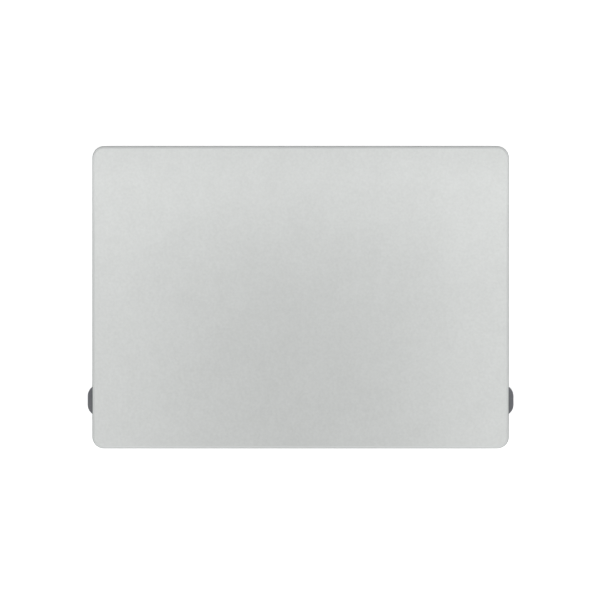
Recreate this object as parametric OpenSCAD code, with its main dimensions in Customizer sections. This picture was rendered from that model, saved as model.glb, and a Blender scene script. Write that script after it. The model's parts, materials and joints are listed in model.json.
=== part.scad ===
// Laptop trackpad module: a glass touch surface on a sensor board and a steel support plate,
// hung on two leaf springs from a screw-down rail, with a dome switch that clicks under the front edge.
// Millimetres. +Z is up out of the glass, +Y is the rear edge, the origin is the middle of the underside.

/* [Cover glass] */
// Width of the glass, left to right
glass_w = 105; // [98:0.5:120]
// Depth of the glass, front to rear
glass_d = 76.2; // [72:0.1:92]
// Thickness of the glass
glass_t = 1; // [0.7:0.05:1.5]
// Radius of the glass corners in plan
corner_r = 2.9; // [2.4:0.1:6]
// Width of the ground bevel round the top edge
bevel_w = 0.6; // [0.2:0.05:1]
// Height of the ground bevel
bevel_h = 0.3; // [0.1:0.05:0.5]

/* [Sensor board] */
// Thickness of the sensor board
board_t = 0.8; // [0.6:0.05:1.2]
// Distance from the glass edge in to the board edge
board_inset = 0.8; // [0.5:0.1:1.5]
// Thickness of each adhesive film
film_t = 0.1; // [0.05:0.01:0.2]
// Distance that each film stays back from the edges it bonds
film_inset = 0.4; // [0.2:0.05:0.8]

/* [Support plate] */
// Thickness of the support plate
plate_t = 0.5; // [0.4:0.05:0.8]
// Distance from the glass edge in to the plate edge
plate_inset = 1.9; // [1.6:0.1:3]
// Radius of the plate corners
plate_r = 1.8; // [1:0.1:3]
// Depth of the plate behind the chip window, where the leaves are riveted
land_d = 9.5; // [8.5:0.1:12]
// Corner radius of the chip window and the cable channel
window_r = 1.5; // [0.8:0.1:2.5]
// Width of the pressed rib on each side of the plate
rib_w = 3; // [2:0.1:5]
// Length of each pressed rib
rib_l = 30; // [20:1:36]
// Height of each pressed rib
rib_h = 0.25; // [0.1:0.05:0.4]

/* [Stop ears] */
// Width of each stop ear at its root, under the glass
ear_w = 8; // [7:0.1:10]
// Distance that each ear stands out past the glass
ear_reach = 1.4; // [0.8:0.05:2]
// Corner radius of each ear
ear_r = 2.9; // [1.5:0.05:3.2]
// Distance from the front edge of the glass to the middle of the ears
ear_setback = 12; // [9:0.1:20]
// Depth that the seat on each ear is coined below the plate
ear_coin = 0.1; // [0.05:0.01:0.2]

/* [Leaf hinge] */
// Thickness of the spring leaves
leaf_t = 0.2; // [0.1:0.02:0.3]
// Length of each leaf under the plate
leaf_land = 6; // [5:0.1:8]
// Free length of each leaf between the plate and the rail
leaf_free = 5.6; // [4.5:0.1:8]
// Inside radius of the bends in each leaf
leaf_bend_r = 0.4; // [0.3:0.05:0.6]
// Angle of the step in each leaf
leaf_bend_angle = 35; // [25:1:45]
// Distance from the plate edge to the outer edge of each leaf
leaf_edge = 2.1; // [1:0.1:4]
// Height of the space over the leaves for the ledge that the rail is screwed to
ledge_gap = 1.1; // [1:0.05:1.6]

/* [Mounting rail] */
// Thickness of the rail
rail_t = 0.8; // [0.7:0.05:1.2]
// Depth of the rail, front to rear
rail_d = 8.6; // [8:0.1:10]
// Distance from the rear edge of the glass to the rail
rail_inset = 1.9; // [1.2:0.1:3]
// Distance that the rail runs past each leaf
rail_end = 0.5; // [0.2:0.1:1.5]
// Depth of the narrow middle of the rail, under the cables
rail_waist = 4.6; // [3:0.1:6]
// Corner radius of the rail
rail_r = 1; // [0.5:0.1:2]
// Diameter of the mounting holes
mount_hole_d = 1.9; // [1.6:0.05:2.2]
// Extra space round the mounting screws in the leaves and shims, so that only the rail places them
mount_ease = 0.2; // [0.15:0.05:0.4]
// Distance from the rear edge of the rail to the mounting holes
mount_setback = 3.2; // [2.6:0.1:4]
// Distance from each leaf edge to the nearest mounting hole
mount_edge = 4; // [3:0.1:6]
// Diameter of the levelling shims
shim_d = 4; // [3.2:0.1:5]
// Thickness of the levelling shims
shim_t = 0.2; // [0.1:0.02:0.3]

/* [Rivets] */
// Diameter of the rivet shanks
rivet_d = 1.2; // [0.9:0.05:1.5]
// Diameter of the rivet heads
rivet_head_d = 2.2; // [1.8:0.05:2.6]
// Height of the rivet heads
rivet_head_h = 0.18; // [0.12:0.02:0.2]
// Distance from the ends of a leaf to its outer rivets
rivet_edge = 3; // [2:0.1:4]

/* [Click switch] */
// Distance from the front edge of the glass to the switch
switch_setback = 8; // [7:0.1:10]
// Width of the switch
switch_w = 7; // [6.4:0.1:9]
// Depth of the switch
switch_d = 6; // [5.8:0.1:8]
// Height of the switch base off the board
switch_h = 0.7; // [0.66:0.02:0.8]
// Thickness of the switch cover
cover_t = 0.1; // [0.06:0.01:0.15]
// Diameter of the snap dome
dome_d = 5; // [4.6:0.1:5.4]
// Height of the snap dome
dome_h = 0.3; // [0.24:0.01:0.34]
// Thickness of the snap dome
dome_t = 0.06; // [0.04:0.01:0.08]
// Diameter of the plunger stem
stem_d = 2.4; // [2.2:0.05:3]
// Length of the plunger stem outside the cover
stem_out = 0.18; // [0.1:0.01:0.22]
// Diameter of the plunger flange
flange_d = 3.4; // [3.2:0.1:4.2]
// Thickness of the plunger flange
flange_t = 0.14; // [0.1:0.01:0.16]

/* [Click lever] */
// Thickness of the click lever
lever_t = 0.3; // [0.2:0.02:0.36]
// Distance from the bend of the lever to the adjusting screw
lever_arm = 11; // [9:0.1:13]
// Width of the lever
lever_w = 9; // [6:0.1:10]
// Width of the riveted foot of the lever
lever_foot_w = 20; // [16:0.1:26]
// Depth of the riveted foot of the lever
lever_foot_d = 6; // [4:0.1:6.5]
// Inside radius of the bends in the lever
lever_bend_r = 0.4; // [0.3:0.05:0.6]
// Angle of the step in the lever
lever_bend_angle = 35; // [28:1:45]
// Space left between the lever and the switch cover at full travel
lever_clear = 0.16; // [0.1:0.01:0.2]
// Diameter of the threaded bush in the lever
bush_d = 4; // [3.4:0.1:5]
// Thickness of the bush flange
bush_flange_t = 0.2; // [0.1:0.01:0.24]
// Diameter of the bush neck that is riveted into the lever
bush_neck_d = 3; // [2.6:0.1:3.4]
// Diameter of the adjusting screw
screw_d = 2; // [1.6:0.1:2.2]
// Diameter of the adjusting screw head
screw_head_d = 3.2; // [2.6:0.1:4]
// Width across the flats of the screw's hexagon socket
screw_hex = 1; // [0.7:0.05:1.2]
// Depth of the hexagon socket
screw_hex_depth = 0.6; // [0.3:0.05:0.8]

/* [Flat cable sockets] */
// Contacts in the cable socket
cable_pins = 12; // [8:1:16]
// Contacts in the keyboard socket
keyboard_pins = 30; // [24:1:34]
// Pitch of the contacts
pin_pitch = 0.5; // [0.4:0.05:0.6]
// Depth of a socket
socket_d = 4.2; // [3.8:0.1:5]
// Height of a socket
socket_h = 1; // [0.9:0.05:1.2]
// Width of each end cheek of a socket
cheek_w = 1.5; // [1.2:0.1:2]
// Width of the solder anchor at each end of a socket
anchor_w = 0.5; // [0.3:0.05:0.8]
// Space beside and between the sockets
socket_gap = 2; // [1.2:0.1:3]
// Distance from the rear edge of the plate to the middle of the sockets
socket_setback = 10; // [9:0.1:12]
// Thickness of the flip latches
latch_t = 0.4; // [0.3:0.02:0.44]

/* [Chips] */
// Side of the touch controller chip
touch_side = 8; // [6:0.1:10]
// Side of the main processor chip
processor_side = 7; // [5:0.1:9]
// Width of the memory chip
memory_w = 5; // [4:0.1:6]
// Depth of the memory chip
memory_d = 4; // [3:0.1:6]
// Height of the moulded chips off the board
chip_h = 0.85; // [0.6:0.05:1]
// Width of the clock crystal
crystal_w = 3.2; // [2:0.1:4]
// Depth of the clock crystal
crystal_d = 2.5; // [1.6:0.1:3.2]
// Height of the clock crystal
crystal_h = 0.7; // [0.5:0.05:0.9]
// Side of the power regulator chip
regulator_side = 3; // [2:0.1:4]
// Side of the power inductor
inductor_side = 3; // [2:0.1:4]
// Height of the power inductor
inductor_h = 1; // [0.7:0.05:1.2]
// Space between the chips
chip_gap = 2.5; // [1.6:0.1:3]
// Space between the chips and the sides of the window
chip_margin = 5.1; // [3:0.1:6]
// Depth of the strip of small parts before and behind the chips
small_strip = 3.2; // [2.6:0.1:4]
// Length of the small capacitors and resistors
small_l = 1; // [0.6:0.1:1.2]
// Width of the small capacitors and resistors
small_w = 0.5; // [0.3:0.05:0.6]
// Spacing of the small parts along their strips
small_pitch = 2.4; // [1.8:0.1:3]

/* [Hidden] */
$fn = 48;

// Clearances
fit = 0.02;          // round a rivet or a screw in its hole
slack = 0.02;        // between the stacked pieces of the switch
eps = 0.01;          // overrun of a cut past a face
coin_t = 0.01;       // taken off each side of the slope in a stepped strip
coin_lap = 0.05;     // the slope runs into each bend by this much

// Heights, from the underside of the rail up to the glass
flange_z = rail_t + leaf_t;
board_z = flange_z + ledge_gap;
plate_top = board_z - film_t;
plate_z = plate_top - plate_t;
glass_z = board_z + board_t + film_t;

// Edges in plan
front_y = -glass_d / 2;
rear_y = glass_d / 2;
plate_half_w = glass_w / 2 - plate_inset;
plate_front = front_y + plate_inset;
rail_rear = rear_y - rail_inset;
rail_front = rail_rear - rail_d;
plate_rear = rail_front - leaf_free;
plate_d = plate_rear - plate_front;
plate_mid_y = (plate_rear + plate_front) / 2;
ear_y = front_y + ear_setback;
ear_span = glass_w + 2 * ear_reach;

// Sockets, side by side in the cable channel
cable_w = cable_pins * pin_pitch + 2 * cheek_w;
keyboard_w = keyboard_pins * pin_pitch + 2 * cheek_w;
channel_w = cable_w + keyboard_w + 4 * anchor_w + 3 * socket_gap;
keyboard_x = -channel_w / 2 + socket_gap + anchor_w + keyboard_w / 2;
cable_x = channel_w / 2 - socket_gap - anchor_w - cable_w / 2;
socket_y = plate_rear - socket_setback;
tail_l = 0.8;        // solder tails behind a socket
tail_t = 0.12;       // thickness of the contacts
tray_h = 0.25;       // floor of a socket
blade_w = 0.2;       // width of one contact
block_d = 1.5;       // depth of the block behind the latch
latch_lip = 0.3;     // the latch stands out past the mouth by this much
latch_play = 0.05;   // between the latch and the block or the cheeks
trunnion_d = 0.28;   // pins that the latch turns on
trunnion_l = 0.5;    // depth of each pin in its cheek
trunnion_play = 0.03; // round each pin in its hole
blade_setback = 1;   // the contacts end this far behind the mouth
anchor_d = 1.4;      // depth of the solder anchors
anchor_h = 0.6;      // height of the solder anchors
latch_h = socket_h - latch_t / 2;
latch_y = -socket_d / 2 + block_d + latch_play + latch_t / 2;

// Chips, in one row between two strips of small parts
chip_widths = [touch_side, processor_side, memory_w, crystal_w, regulator_side, inductor_side];
chip_depth = max(touch_side, processor_side, memory_d, crystal_d, regulator_side, inductor_side);
row_w = total(chip_widths) + (len(chip_widths) - 1) * chip_gap;
row_y = socket_y - socket_d / 2 - tail_l - small_strip - chip_depth / 2;
rear_strip_y = row_y + chip_depth / 2 + small_strip / 2;
front_strip_y = row_y - chip_depth / 2 - small_strip / 2;
window_w = row_w + 2 * chip_margin;
window_rear = plate_rear - land_d;
window_front = front_strip_y - small_strip / 2;
strip_w = row_w + chip_margin;
strip_count = floor(strip_w / small_pitch);
cap_h = 0.5;         // height of the capacitors
resistor_h = 0.35;   // height of the resistors
crystal_r = 0.4;     // corner radius of the crystal's can
inductor_r = 0.5;    // corner radius of the inductor
diode_side = 1.6;    // side of the surge diode packages
diode_h = 0.6;       // height of the surge diode packages

// Leaves, from the channel to the plate edge
leaf_inner = channel_w / 2 + socket_gap;
leaf_outer = plate_half_w - leaf_edge;
leaf_w = leaf_outer - leaf_inner;
leaf_x = (leaf_outer + leaf_inner) / 2;
leaf_drop = plate_z - leaf_t - rail_t;
leaf_run = step_run(leaf_t, leaf_bend_r, leaf_bend_angle, leaf_drop);
leaf_bend_y = plate_rear + (leaf_free - leaf_run) / 2;
leaf_rear = rail_rear - fit;
leaf_slot_w = 5;     // windows that soften the leaf
leaf_slot_d = 2;
rail_half_w = leaf_outer + rail_end;
land_rivet_y = plate_rear - leaf_land / 2;
rail_rivet_y = rail_front + rivet_head_d / 2 + fit * 2;
rivet_xs = [for (i = [-1:1]) leaf_x + i * (leaf_w / 2 - rivet_edge)];
mount_y = rail_rear - mount_setback;
ease_d = mount_hole_d + 2 * mount_ease;
mount_xs = [for (i = [-1, 1]) leaf_x + i * (leaf_w / 2 - mount_edge)];

// Ribs, midway between the window and the plate edge
rib_x = (window_w / 2 + plate_half_w) / 2;
rib_y = ear_y + ear_w / 2 + rib_l / 2;

// Switch, hanging from the board
switch_y = front_y + switch_setback;
pocket_d = flange_t + dome_h + 2 * slack;
pocket_z = board_z - switch_h + pocket_d;
cover_z = board_z - switch_h - cover_t;
click_travel = dome_h - dome_t;
dome_ball_r = (pow(dome_d / 2, 2) + pow(dome_h, 2)) / (2 * dome_h);
flange_top = board_z - switch_h + slack + flange_t;
stem_z = cover_z - stem_out;
hole_play = 0.1;     // round the stem in its hole, and the dome in its pocket
terminal_w = 0.8;
terminal_l = 0.7;
terminal_t = 0.12;
contact_d = 1.2;     // fixed contact under the dome
contact_t = 0.03;

// Lever, from its riveted foot to the adjusting screw under the switch
lever_top = cover_z - click_travel - lever_clear;
lever_z = lever_top - lever_t;
lever_drop = plate_z - lever_top;
lever_run = step_run(lever_t, lever_bend_r, lever_bend_angle, lever_drop);
lever_bend_y = switch_y + lever_arm;
lever_neck = 1;      // the lever's own width carries on this far behind the bend
lever_lug = 0.5;     // the round end is wider than the lever by this much each side
lever_slot_w = 3;    // window that softens the lever
lever_tip_r = lever_w / 2 + lever_lug;
lever_rivet_x = lever_foot_w / 2 - rivet_edge;
lever_rivet_y = lever_bend_y + lever_neck + lever_foot_d / 2;
notch_gap = 2;
notch_w = 2 * (lever_tip_r + notch_gap);
notch_rear = switch_y + switch_d / 2 + terminal_l + notch_gap;
bush_z = lever_z - bush_flange_t;
screw_gap = 0.08;    // between the screw head and the bush
screw_tip_z = stem_z - slack;
screw_tip_d = 1.2;
screw_tip_h = 0.2;

// Geometry helpers

function total(list, i = 0) = i >= len(list) ? 0 : list[i] + total(list, i + 1);

// Middle of chip i along the row
function chip_x(i) =
  -row_w / 2 + total([for (k = [0:1:i - 1]) chip_widths[k] + chip_gap]) + chip_widths[i] / 2;

// Length of the straight slope, and of the whole step, in a strip bent down and level again
function step_slope(t, r, angle, drop) = (drop - 2 * (r + t / 2) * (1 - cos(angle))) / sin(angle);
function step_run(t, r, angle, drop) =
  2 * (r + t / 2) * sin(angle) + step_slope(t, r, angle, drop) * cos(angle);

// Slab with rounded corners: the children draw the section of its rim outwards from the corner centre
module rimmed_slab(w, d, t, r) {
  translate([-w / 2 + r, -d / 2 + r, 0]) cube([w - 2 * r, d - 2 * r, t]);
  for (k = [0:3]) {
    reach = (k % 2 == 0 ? w : d) / 2 - r;
    half = (k % 2 == 0 ? d : w) / 2 - r;
    rotate(90 * k) translate([reach, half, 0]) {
      rotate([90, 0, 0]) linear_extrude(2 * half) children();
      rotate_extrude(angle = 90) children();
    }
  }
}

// Flat slab with rounded corners, centred in plan, on z = 0
module slab(w, d, t, r) {
  rimmed_slab(w, d, t, r) square([r, t]);
}

// Box centred in plan, on z = 0
module block(w, d, h) {
  translate([-w / 2, -d / 2, 0]) cube([w, d, h]);
}

// Hole along y with round ends, which stand out by eps beside the straight part
module long_hole(w, l, h) {
  block(w - 2 * eps, l - w, h);
  for (sy = [-1, 1]) translate([0, sy * (l - w) / 2, 0]) cylinder(h = h, d = w);
}

// One half of a stepped strip's section: a flange and its bend
module half_step(t, r, angle, flange) {
  translate([-flange, 0]) square([flange, t]);
  translate([0, -r]) intersection() {
    difference() {
      circle(r + t);
      circle(r);
    }
    polygon([[0, 0], [0, r + t], [(r + t) * tan(angle), r + t]]);
  }
}

// Strip of sheet along +Y, w wide, that steps down by drop: y = 0, z = 0 is the underside at the first bend.
// The slope between the bends is coined thinner and runs a little way into both.
module stepped_strip(w, t, r, angle, drop, upper, lower) {
  slope = step_slope(t, r, angle, drop);
  run = step_run(t, r, angle, drop);
  rotate([90, 0, 90]) translate([0, 0, -w / 2]) linear_extrude(w) {
    half_step(t, r, angle, upper);
    translate([run, t - drop]) rotate(180) half_step(t, r, angle, lower);
    translate([0, -r]) rotate(-angle) translate([-coin_lap, r + coin_t])
      square([slope + 2 * coin_lap, t - 2 * coin_t]);
  }
}

// Rivet with its head down, its shank grip long above the head
module rivet(grip) {
  translate([0, 0, -rivet_head_h])
    cylinder(h = rivet_head_h, d1 = rivet_head_d - 2 * rivet_head_h, d2 = rivet_head_d);
  cylinder(h = grip, d = rivet_d);
}

module both_sides() {
  children();
  mirror([1, 0, 0]) children();
}

// Glass, films, board and plate

module cover_glass() {
  color("gainsboro") translate([0, 0, glass_z])
    rimmed_slab(glass_w, glass_d, glass_t, corner_r)
      polygon([
        [0, 0], [corner_r, 0], [corner_r, glass_t - bevel_h], [corner_r - bevel_w, glass_t], [0, glass_t]
      ]);
}

module glass_film() {
  inset = board_inset + film_inset;
  color("whitesmoke") translate([0, 0, board_z + board_t])
    slab(glass_w - 2 * inset, glass_d - 2 * inset, film_t, corner_r - board_inset);
}

module sensor_board() {
  color("darkslategray") translate([0, 0, board_z])
    slab(glass_w - 2 * board_inset, glass_d - 2 * board_inset, board_t, corner_r - board_inset);
}

// Openings through the plate, grown by edge: chip window, cable channel and switch notch
module plate_openings(h, edge) {
  window_d = window_rear - window_front;
  channel_d = plate_rear - window_front;
  notch_d = notch_rear - plate_front;
  translate([0, (window_rear + window_front) / 2, 0])
    slab(window_w + 2 * edge, window_d + 2 * edge, h, window_r);
  translate([0, window_front + channel_d, 0])
    slab(channel_w + 2 * edge, 2 * (channel_d + edge) - window_d, h, window_r);
  translate([0, plate_front, 0])
    slab(notch_w + 2 * edge, 2 * (notch_d + edge), h, window_r);
}

module plate_film() {
  film_w = 2 * (plate_half_w - film_inset);
  film_d = plate_d - 2 * film_inset;
  color("whitesmoke") translate([0, 0, plate_top])
    difference() {
      translate([0, plate_mid_y, 0]) slab(film_w, film_d, film_t, plate_r);
      translate([0, 0, -eps]) plate_openings(film_t + 2 * eps, film_inset);
    }
}

// Pressed rib, hollow on its upper side
module rib(w, l, h) {
  translate([rib_x, rib_y, 0]) slab(w, l, h, w / 2 - eps);
}

module ear_seat() {
  seat_x = glass_w / 2 + fit;
  translate([seat_x, ear_y - ear_w / 2, plate_top - ear_coin]) cube([ear_reach, ear_w, ear_coin + eps]);
}

module support_plate() {
  color("dimgray") difference() {
    union() {
      translate([0, plate_mid_y, plate_z]) slab(2 * plate_half_w, plate_d, plate_t, plate_r);
      translate([0, ear_y, plate_z]) slab(ear_span, ear_w, plate_t, ear_r);
      both_sides() translate([0, 0, plate_z - rib_h]) rib(rib_w, rib_l, rib_h);
    }
    translate([0, 0, plate_z - eps]) plate_openings(plate_t + 2 * eps, 0);
    both_sides() {
      translate([0, 0, plate_top - rib_h]) rib(rib_w - 2 * rib_h, rib_l - 2 * rib_h, rib_h + eps);
      ear_seat();
      for (x = rivet_xs) translate([x, land_rivet_y, plate_z - eps])
        cylinder(h = plate_t + 2 * eps, d = rivet_d + 2 * fit);
      translate([lever_rivet_x, lever_rivet_y, plate_z - eps])
        cylinder(h = plate_t + 2 * eps, d = rivet_d + 2 * fit);
    }
  }
}

// Hinge: leaves, rail, rivets and shims

module hinge_leaf() {
  upper = leaf_bend_y - plate_rear + leaf_land;
  lower = leaf_rear - leaf_bend_y - leaf_run;
  slot_y = rail_front - leaf_slot_d / 2 - rivet_d / 2;
  difference() {
    translate([leaf_x, leaf_bend_y, plate_z - leaf_t])
      stepped_strip(leaf_w, leaf_t, leaf_bend_r, leaf_bend_angle, leaf_drop, upper, lower);
    for (x = rivet_xs) {
      translate([x, land_rivet_y, plate_z - leaf_t - eps])
        cylinder(h = leaf_t + 2 * eps, d = rivet_d + 2 * fit);
      translate([x, rail_rivet_y, rail_t - eps]) cylinder(h = leaf_t + 2 * eps, d = rivet_d + 2 * fit);
      translate([x, slot_y, rail_t - eps])
        slab(leaf_slot_w, leaf_slot_d, leaf_t + 2 * eps, leaf_slot_d / 2 - eps);
    }
    for (x = mount_xs) translate([x, mount_y, rail_t - eps])
      cylinder(h = leaf_t + 2 * eps, d = ease_d);
  }
}

module hinge_leaf_right() { color("silver") hinge_leaf(); }

module hinge_leaf_left() { color("silver") mirror([1, 0, 0]) hinge_leaf(); }

module hinge_rail() {
  waist_cut = rail_d - rail_waist;
  color("lightslategray") difference() {
    translate([0, (rail_front + rail_rear) / 2, 0]) slab(2 * rail_half_w, rail_d, rail_t, rail_r);
    translate([0, rail_front, -eps]) slab(channel_w, 2 * waist_cut, rail_t + 2 * eps, rail_r);
    both_sides() {
      for (x = rivet_xs) translate([x, rail_rivet_y, -eps])
        cylinder(h = rail_t + 2 * eps, d = rivet_d + 2 * fit);
      for (x = mount_xs) translate([x, mount_y, -eps])
        cylinder(h = rail_t + 2 * eps, d = mount_hole_d);
    }
  }
}

module leaf_rivets() {
  grip = leaf_t + plate_t - fit;
  color("gainsboro") both_sides()
    for (x = rivet_xs) translate([x, land_rivet_y, plate_z - leaf_t]) rivet(grip);
}

module rail_rivets() {
  grip = leaf_t + rail_t - fit;
  color("gainsboro") both_sides()
    for (x = rivet_xs) translate([x, rail_rivet_y, flange_z]) mirror([0, 0, 1]) rivet(grip);
}

module mount_shims() {
  color("silver") both_sides()
    for (x = mount_xs) translate([x, mount_y, flange_z]) difference() {
      cylinder(h = shim_t, d = shim_d);
      translate([0, 0, -eps]) cylinder(h = shim_t + 2 * eps, d = ease_d);
    }
}

// Click switch

module switch_base() {
  color("black") translate([0, switch_y, board_z - switch_h]) difference() {
    block(switch_w, switch_d, switch_h);
    translate([0, 0, -eps]) cylinder(h = pocket_d + eps, d = dome_d + 2 * hole_play);
  }
}

module switch_terminals() {
  color("gold") translate([0, switch_y, 0]) {
    for (sx = [-1, 1], sy = [-1, 1])
      translate([
        sx * (switch_w - terminal_w) / 2, sy * (switch_d + terminal_l) / 2, board_z - terminal_t
      ]) block(terminal_w, terminal_l, terminal_t);
    translate([0, 0, pocket_z - contact_t]) cylinder(h = contact_t, d = contact_d);
  }
}

// Shallow cap, crown down, with its rim on the pocket floor
module switch_dome() {
  color("silver") translate([0, switch_y, pocket_z]) rotate_extrude() intersection() {
    translate([0, dome_ball_r - dome_h]) difference() {
      circle(dome_ball_r, $fn = 200);
      circle(dome_ball_r - dome_t, $fn = 200);
    }
    translate([0, -dome_h - eps]) square([dome_d / 2 + eps, dome_h + eps]);
  }
}

module switch_plunger() {
  stem_l = flange_top - flange_t - stem_z;
  tip_h = stem_out / 2;
  color("ivory") translate([0, switch_y, stem_z]) {
    cylinder(h = tip_h, d1 = stem_d - 2 * tip_h, d2 = stem_d);
    translate([0, 0, tip_h]) cylinder(h = stem_l - tip_h, d = stem_d);
    translate([0, 0, stem_l]) cylinder(h = flange_t, d = flange_d);
  }
}

module switch_cover() {
  leg_d = switch_d / 2;
  color("silver") translate([0, switch_y, cover_z]) {
    difference() {
      block(switch_w + 2 * cover_t, switch_d, cover_t);
      translate([0, 0, -eps]) cylinder(h = cover_t + 2 * eps, d = stem_d + 2 * hole_play);
    }
    for (sx = [-1, 1]) translate([sx * (switch_w + cover_t) / 2, 0, cover_t])
      block(cover_t, leg_d, switch_h - fit);
  }
}

// Click lever

module click_lever() {
  upper = lever_neck + lever_foot_d;
  lower = lever_arm - lever_run;
  foot_y = lever_bend_y + lever_neck + lever_foot_d / 2;
  slot_l = lower - lever_tip_r;
  slot_w = min(lever_slot_w, 0.7 * slot_l);
  slot_y = switch_y + (lever_tip_r + bush_d / 2) / 2 + slot_l / 2;
  color("silver") difference() {
    union() {
      translate([0, lever_bend_y, plate_z - lever_t]) mirror([0, 1, 0])
        stepped_strip(lever_w, lever_t, lever_bend_r, lever_bend_angle, lever_drop, upper, lower);
      translate([0, foot_y, plate_z - lever_t]) slab(lever_foot_w, lever_foot_d, lever_t, window_r);
      translate([0, switch_y, lever_z]) cylinder(h = lever_t, r = lever_tip_r);
    }
    translate([0, switch_y, lever_z - eps]) cylinder(h = lever_t + 2 * eps, d = bush_neck_d + 2 * fit);
    translate([0, slot_y, lever_z - eps]) long_hole(slot_w, slot_l, lever_t + 2 * eps);
    both_sides() translate([lever_rivet_x, lever_rivet_y, plate_z - lever_t - eps])
      cylinder(h = lever_t + 2 * eps, d = rivet_d + 2 * fit);
  }
}

module lever_rivets() {
  grip = lever_t + plate_t - fit;
  color("gainsboro") both_sides()
    translate([lever_rivet_x, lever_rivet_y, plate_z - lever_t]) rivet(grip);
}

module lever_bush() {
  color("darkgoldenrod") translate([0, switch_y, bush_z]) difference() {
    union() {
      cylinder(h = bush_flange_t, d = bush_d);
      cylinder(h = bush_flange_t + lever_t, d = bush_neck_d);
    }
    translate([0, 0, -eps]) cylinder(h = bush_flange_t + lever_t + 2 * eps, d = screw_d + 2 * fit);
  }
}

module adjusting_screw() {
  head_h = bush_z - screw_gap;
  shank_l = screw_tip_z - screw_tip_h - head_h;
  color("slategray") translate([0, switch_y, 0]) difference() {
    union() {
      cylinder(h = head_h, d = screw_head_d);
      translate([0, 0, head_h]) cylinder(h = shank_l, d = screw_d);
      translate([0, 0, head_h + shank_l]) cylinder(h = screw_tip_h, d1 = screw_d, d2 = screw_tip_d);
    }
    translate([0, 0, -eps]) cylinder(h = screw_hex_depth + eps, d = screw_hex / cos(30), $fn = 6);
  }
}

// Flat cable sockets, drawn upside down with the board at z = 0 and the mouth towards +Y

module on_board(x, y) {
  translate([x, y, board_z]) mirror([0, 0, 1]) children();
}

module at_cable_socket() { on_board(cable_x, socket_y) children(); }

module at_keyboard_socket() { on_board(keyboard_x, socket_y) children(); }

function pin_xs(pins) = [for (i = [0:pins - 1]) (i - (pins - 1) / 2) * pin_pitch];

module socket_body(pins) {
  inner_w = pins * pin_pitch;
  outer_w = inner_w + 2 * cheek_w;
  color("ivory") difference() {
    block(outer_w, socket_d, socket_h);
    translate([-inner_w / 2, -socket_d / 2 + block_d, tray_h]) cube([inner_w, socket_d, socket_h]);
    for (x = pin_xs(pins)) translate([x - blade_w / 2 - fit, -socket_d / 2 - eps, tray_h])
      cube([blade_w + 2 * fit, block_d + 2 * eps, tail_t + fit]);
    both_sides() translate([inner_w / 2 - eps, latch_y, latch_h]) rotate([0, 90, 0])
      cylinder(h = trunnion_l + 2 * latch_play, d = trunnion_d + 2 * trunnion_play);
  }
}

module socket_contacts(pins) {
  blade_end = socket_d / 2 - blade_setback;
  heel = -socket_d / 2 - tail_t;
  foot = -socket_d / 2 - tail_l;
  color("gold") for (x = pin_xs(pins)) translate([x - blade_w / 2, 0, 0]) {
    translate([0, heel, tray_h]) cube([blade_w, blade_end - heel, tail_t]);
    translate([0, heel, 0]) cube([blade_w, tail_t, tray_h]);
    translate([0, foot, 0]) cube([blade_w, heel - foot, tail_t]);
  }
}

module socket_anchors(pins) {
  outer_w = pins * pin_pitch + 2 * cheek_w;
  color("silver") both_sides() translate([outer_w / 2, -anchor_d / 2, 0]) {
    cube([anchor_w, anchor_d, tail_t]);
    cube([tail_t, anchor_d, anchor_h]);
  }
}

module socket_latch(pins) {
  bar_w = pins * pin_pitch - 2 * latch_play;
  bar_l = socket_d / 2 + latch_lip - latch_y;
  color("dimgray") translate([0, latch_y, latch_h]) {
    rotate([0, 90, 0]) translate([0, 0, -bar_w / 2]) cylinder(h = bar_w, d = latch_t);
    translate([-bar_w / 2, 0, -latch_t / 2]) cube([bar_w, bar_l, latch_t]);
    both_sides() translate([bar_w / 2, 0, 0]) rotate([0, 90, 0])
      cylinder(h = latch_play + trunnion_l, d = trunnion_d);
  }
}

module cable_socket_body() { at_cable_socket() socket_body(cable_pins); }

module cable_socket_contacts() { at_cable_socket() socket_contacts(cable_pins); }

module cable_socket_anchors() { at_cable_socket() socket_anchors(cable_pins); }

module cable_socket_latch() { at_cable_socket() socket_latch(cable_pins); }

module keyboard_socket_body() { at_keyboard_socket() socket_body(keyboard_pins); }

module keyboard_socket_contacts() { at_keyboard_socket() socket_contacts(keyboard_pins); }

module keyboard_socket_anchors() { at_keyboard_socket() socket_anchors(keyboard_pins); }

module keyboard_socket_latch() { at_keyboard_socket() socket_latch(keyboard_pins); }

// Chips and small parts

module chip(i, depth, h) {
  on_board(chip_x(i), row_y) block(chip_widths[i], depth, h);
}

module touch_controller() { color("black") chip(0, touch_side, chip_h); }

module main_processor() { color("black") chip(1, processor_side, chip_h); }

module memory_chip() { color("black") chip(2, memory_d, chip_h); }

module clock_crystal() {
  color("silver") on_board(chip_x(3), row_y) slab(crystal_w, crystal_d, crystal_h, crystal_r);
}

module power_regulator() { color("black") chip(4, regulator_side, chip_h); }

module power_inductor() {
  color("dimgray") on_board(chip_x(5), row_y) slab(inductor_side, inductor_side, inductor_h, inductor_r);
}

// Places along a strip: every third one is left to the resistors
function strip_x(i) = (i - (strip_count - 1) / 2) * small_pitch;

module chip_capacitors() {
  color("tan") for (i = [0:strip_count - 1], y = [rear_strip_y, front_strip_y])
    if (i % 3 != 1) on_board(strip_x(i), y) block(small_l, small_w, cap_h);
}

module chip_resistors() {
  color("black") for (i = [0:strip_count - 1], y = [rear_strip_y, front_strip_y])
    if (i % 3 == 1) on_board(strip_x(i), y) block(small_w, small_l, resistor_h);
}

// Beside the sockets, in the corners of the window
module surge_diodes() {
  diode_x = (channel_w + window_w) / 4;
  color("black") both_sides() on_board(diode_x, socket_y - socket_d / 2)
    block(diode_side, diode_side, diode_h);
}

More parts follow.
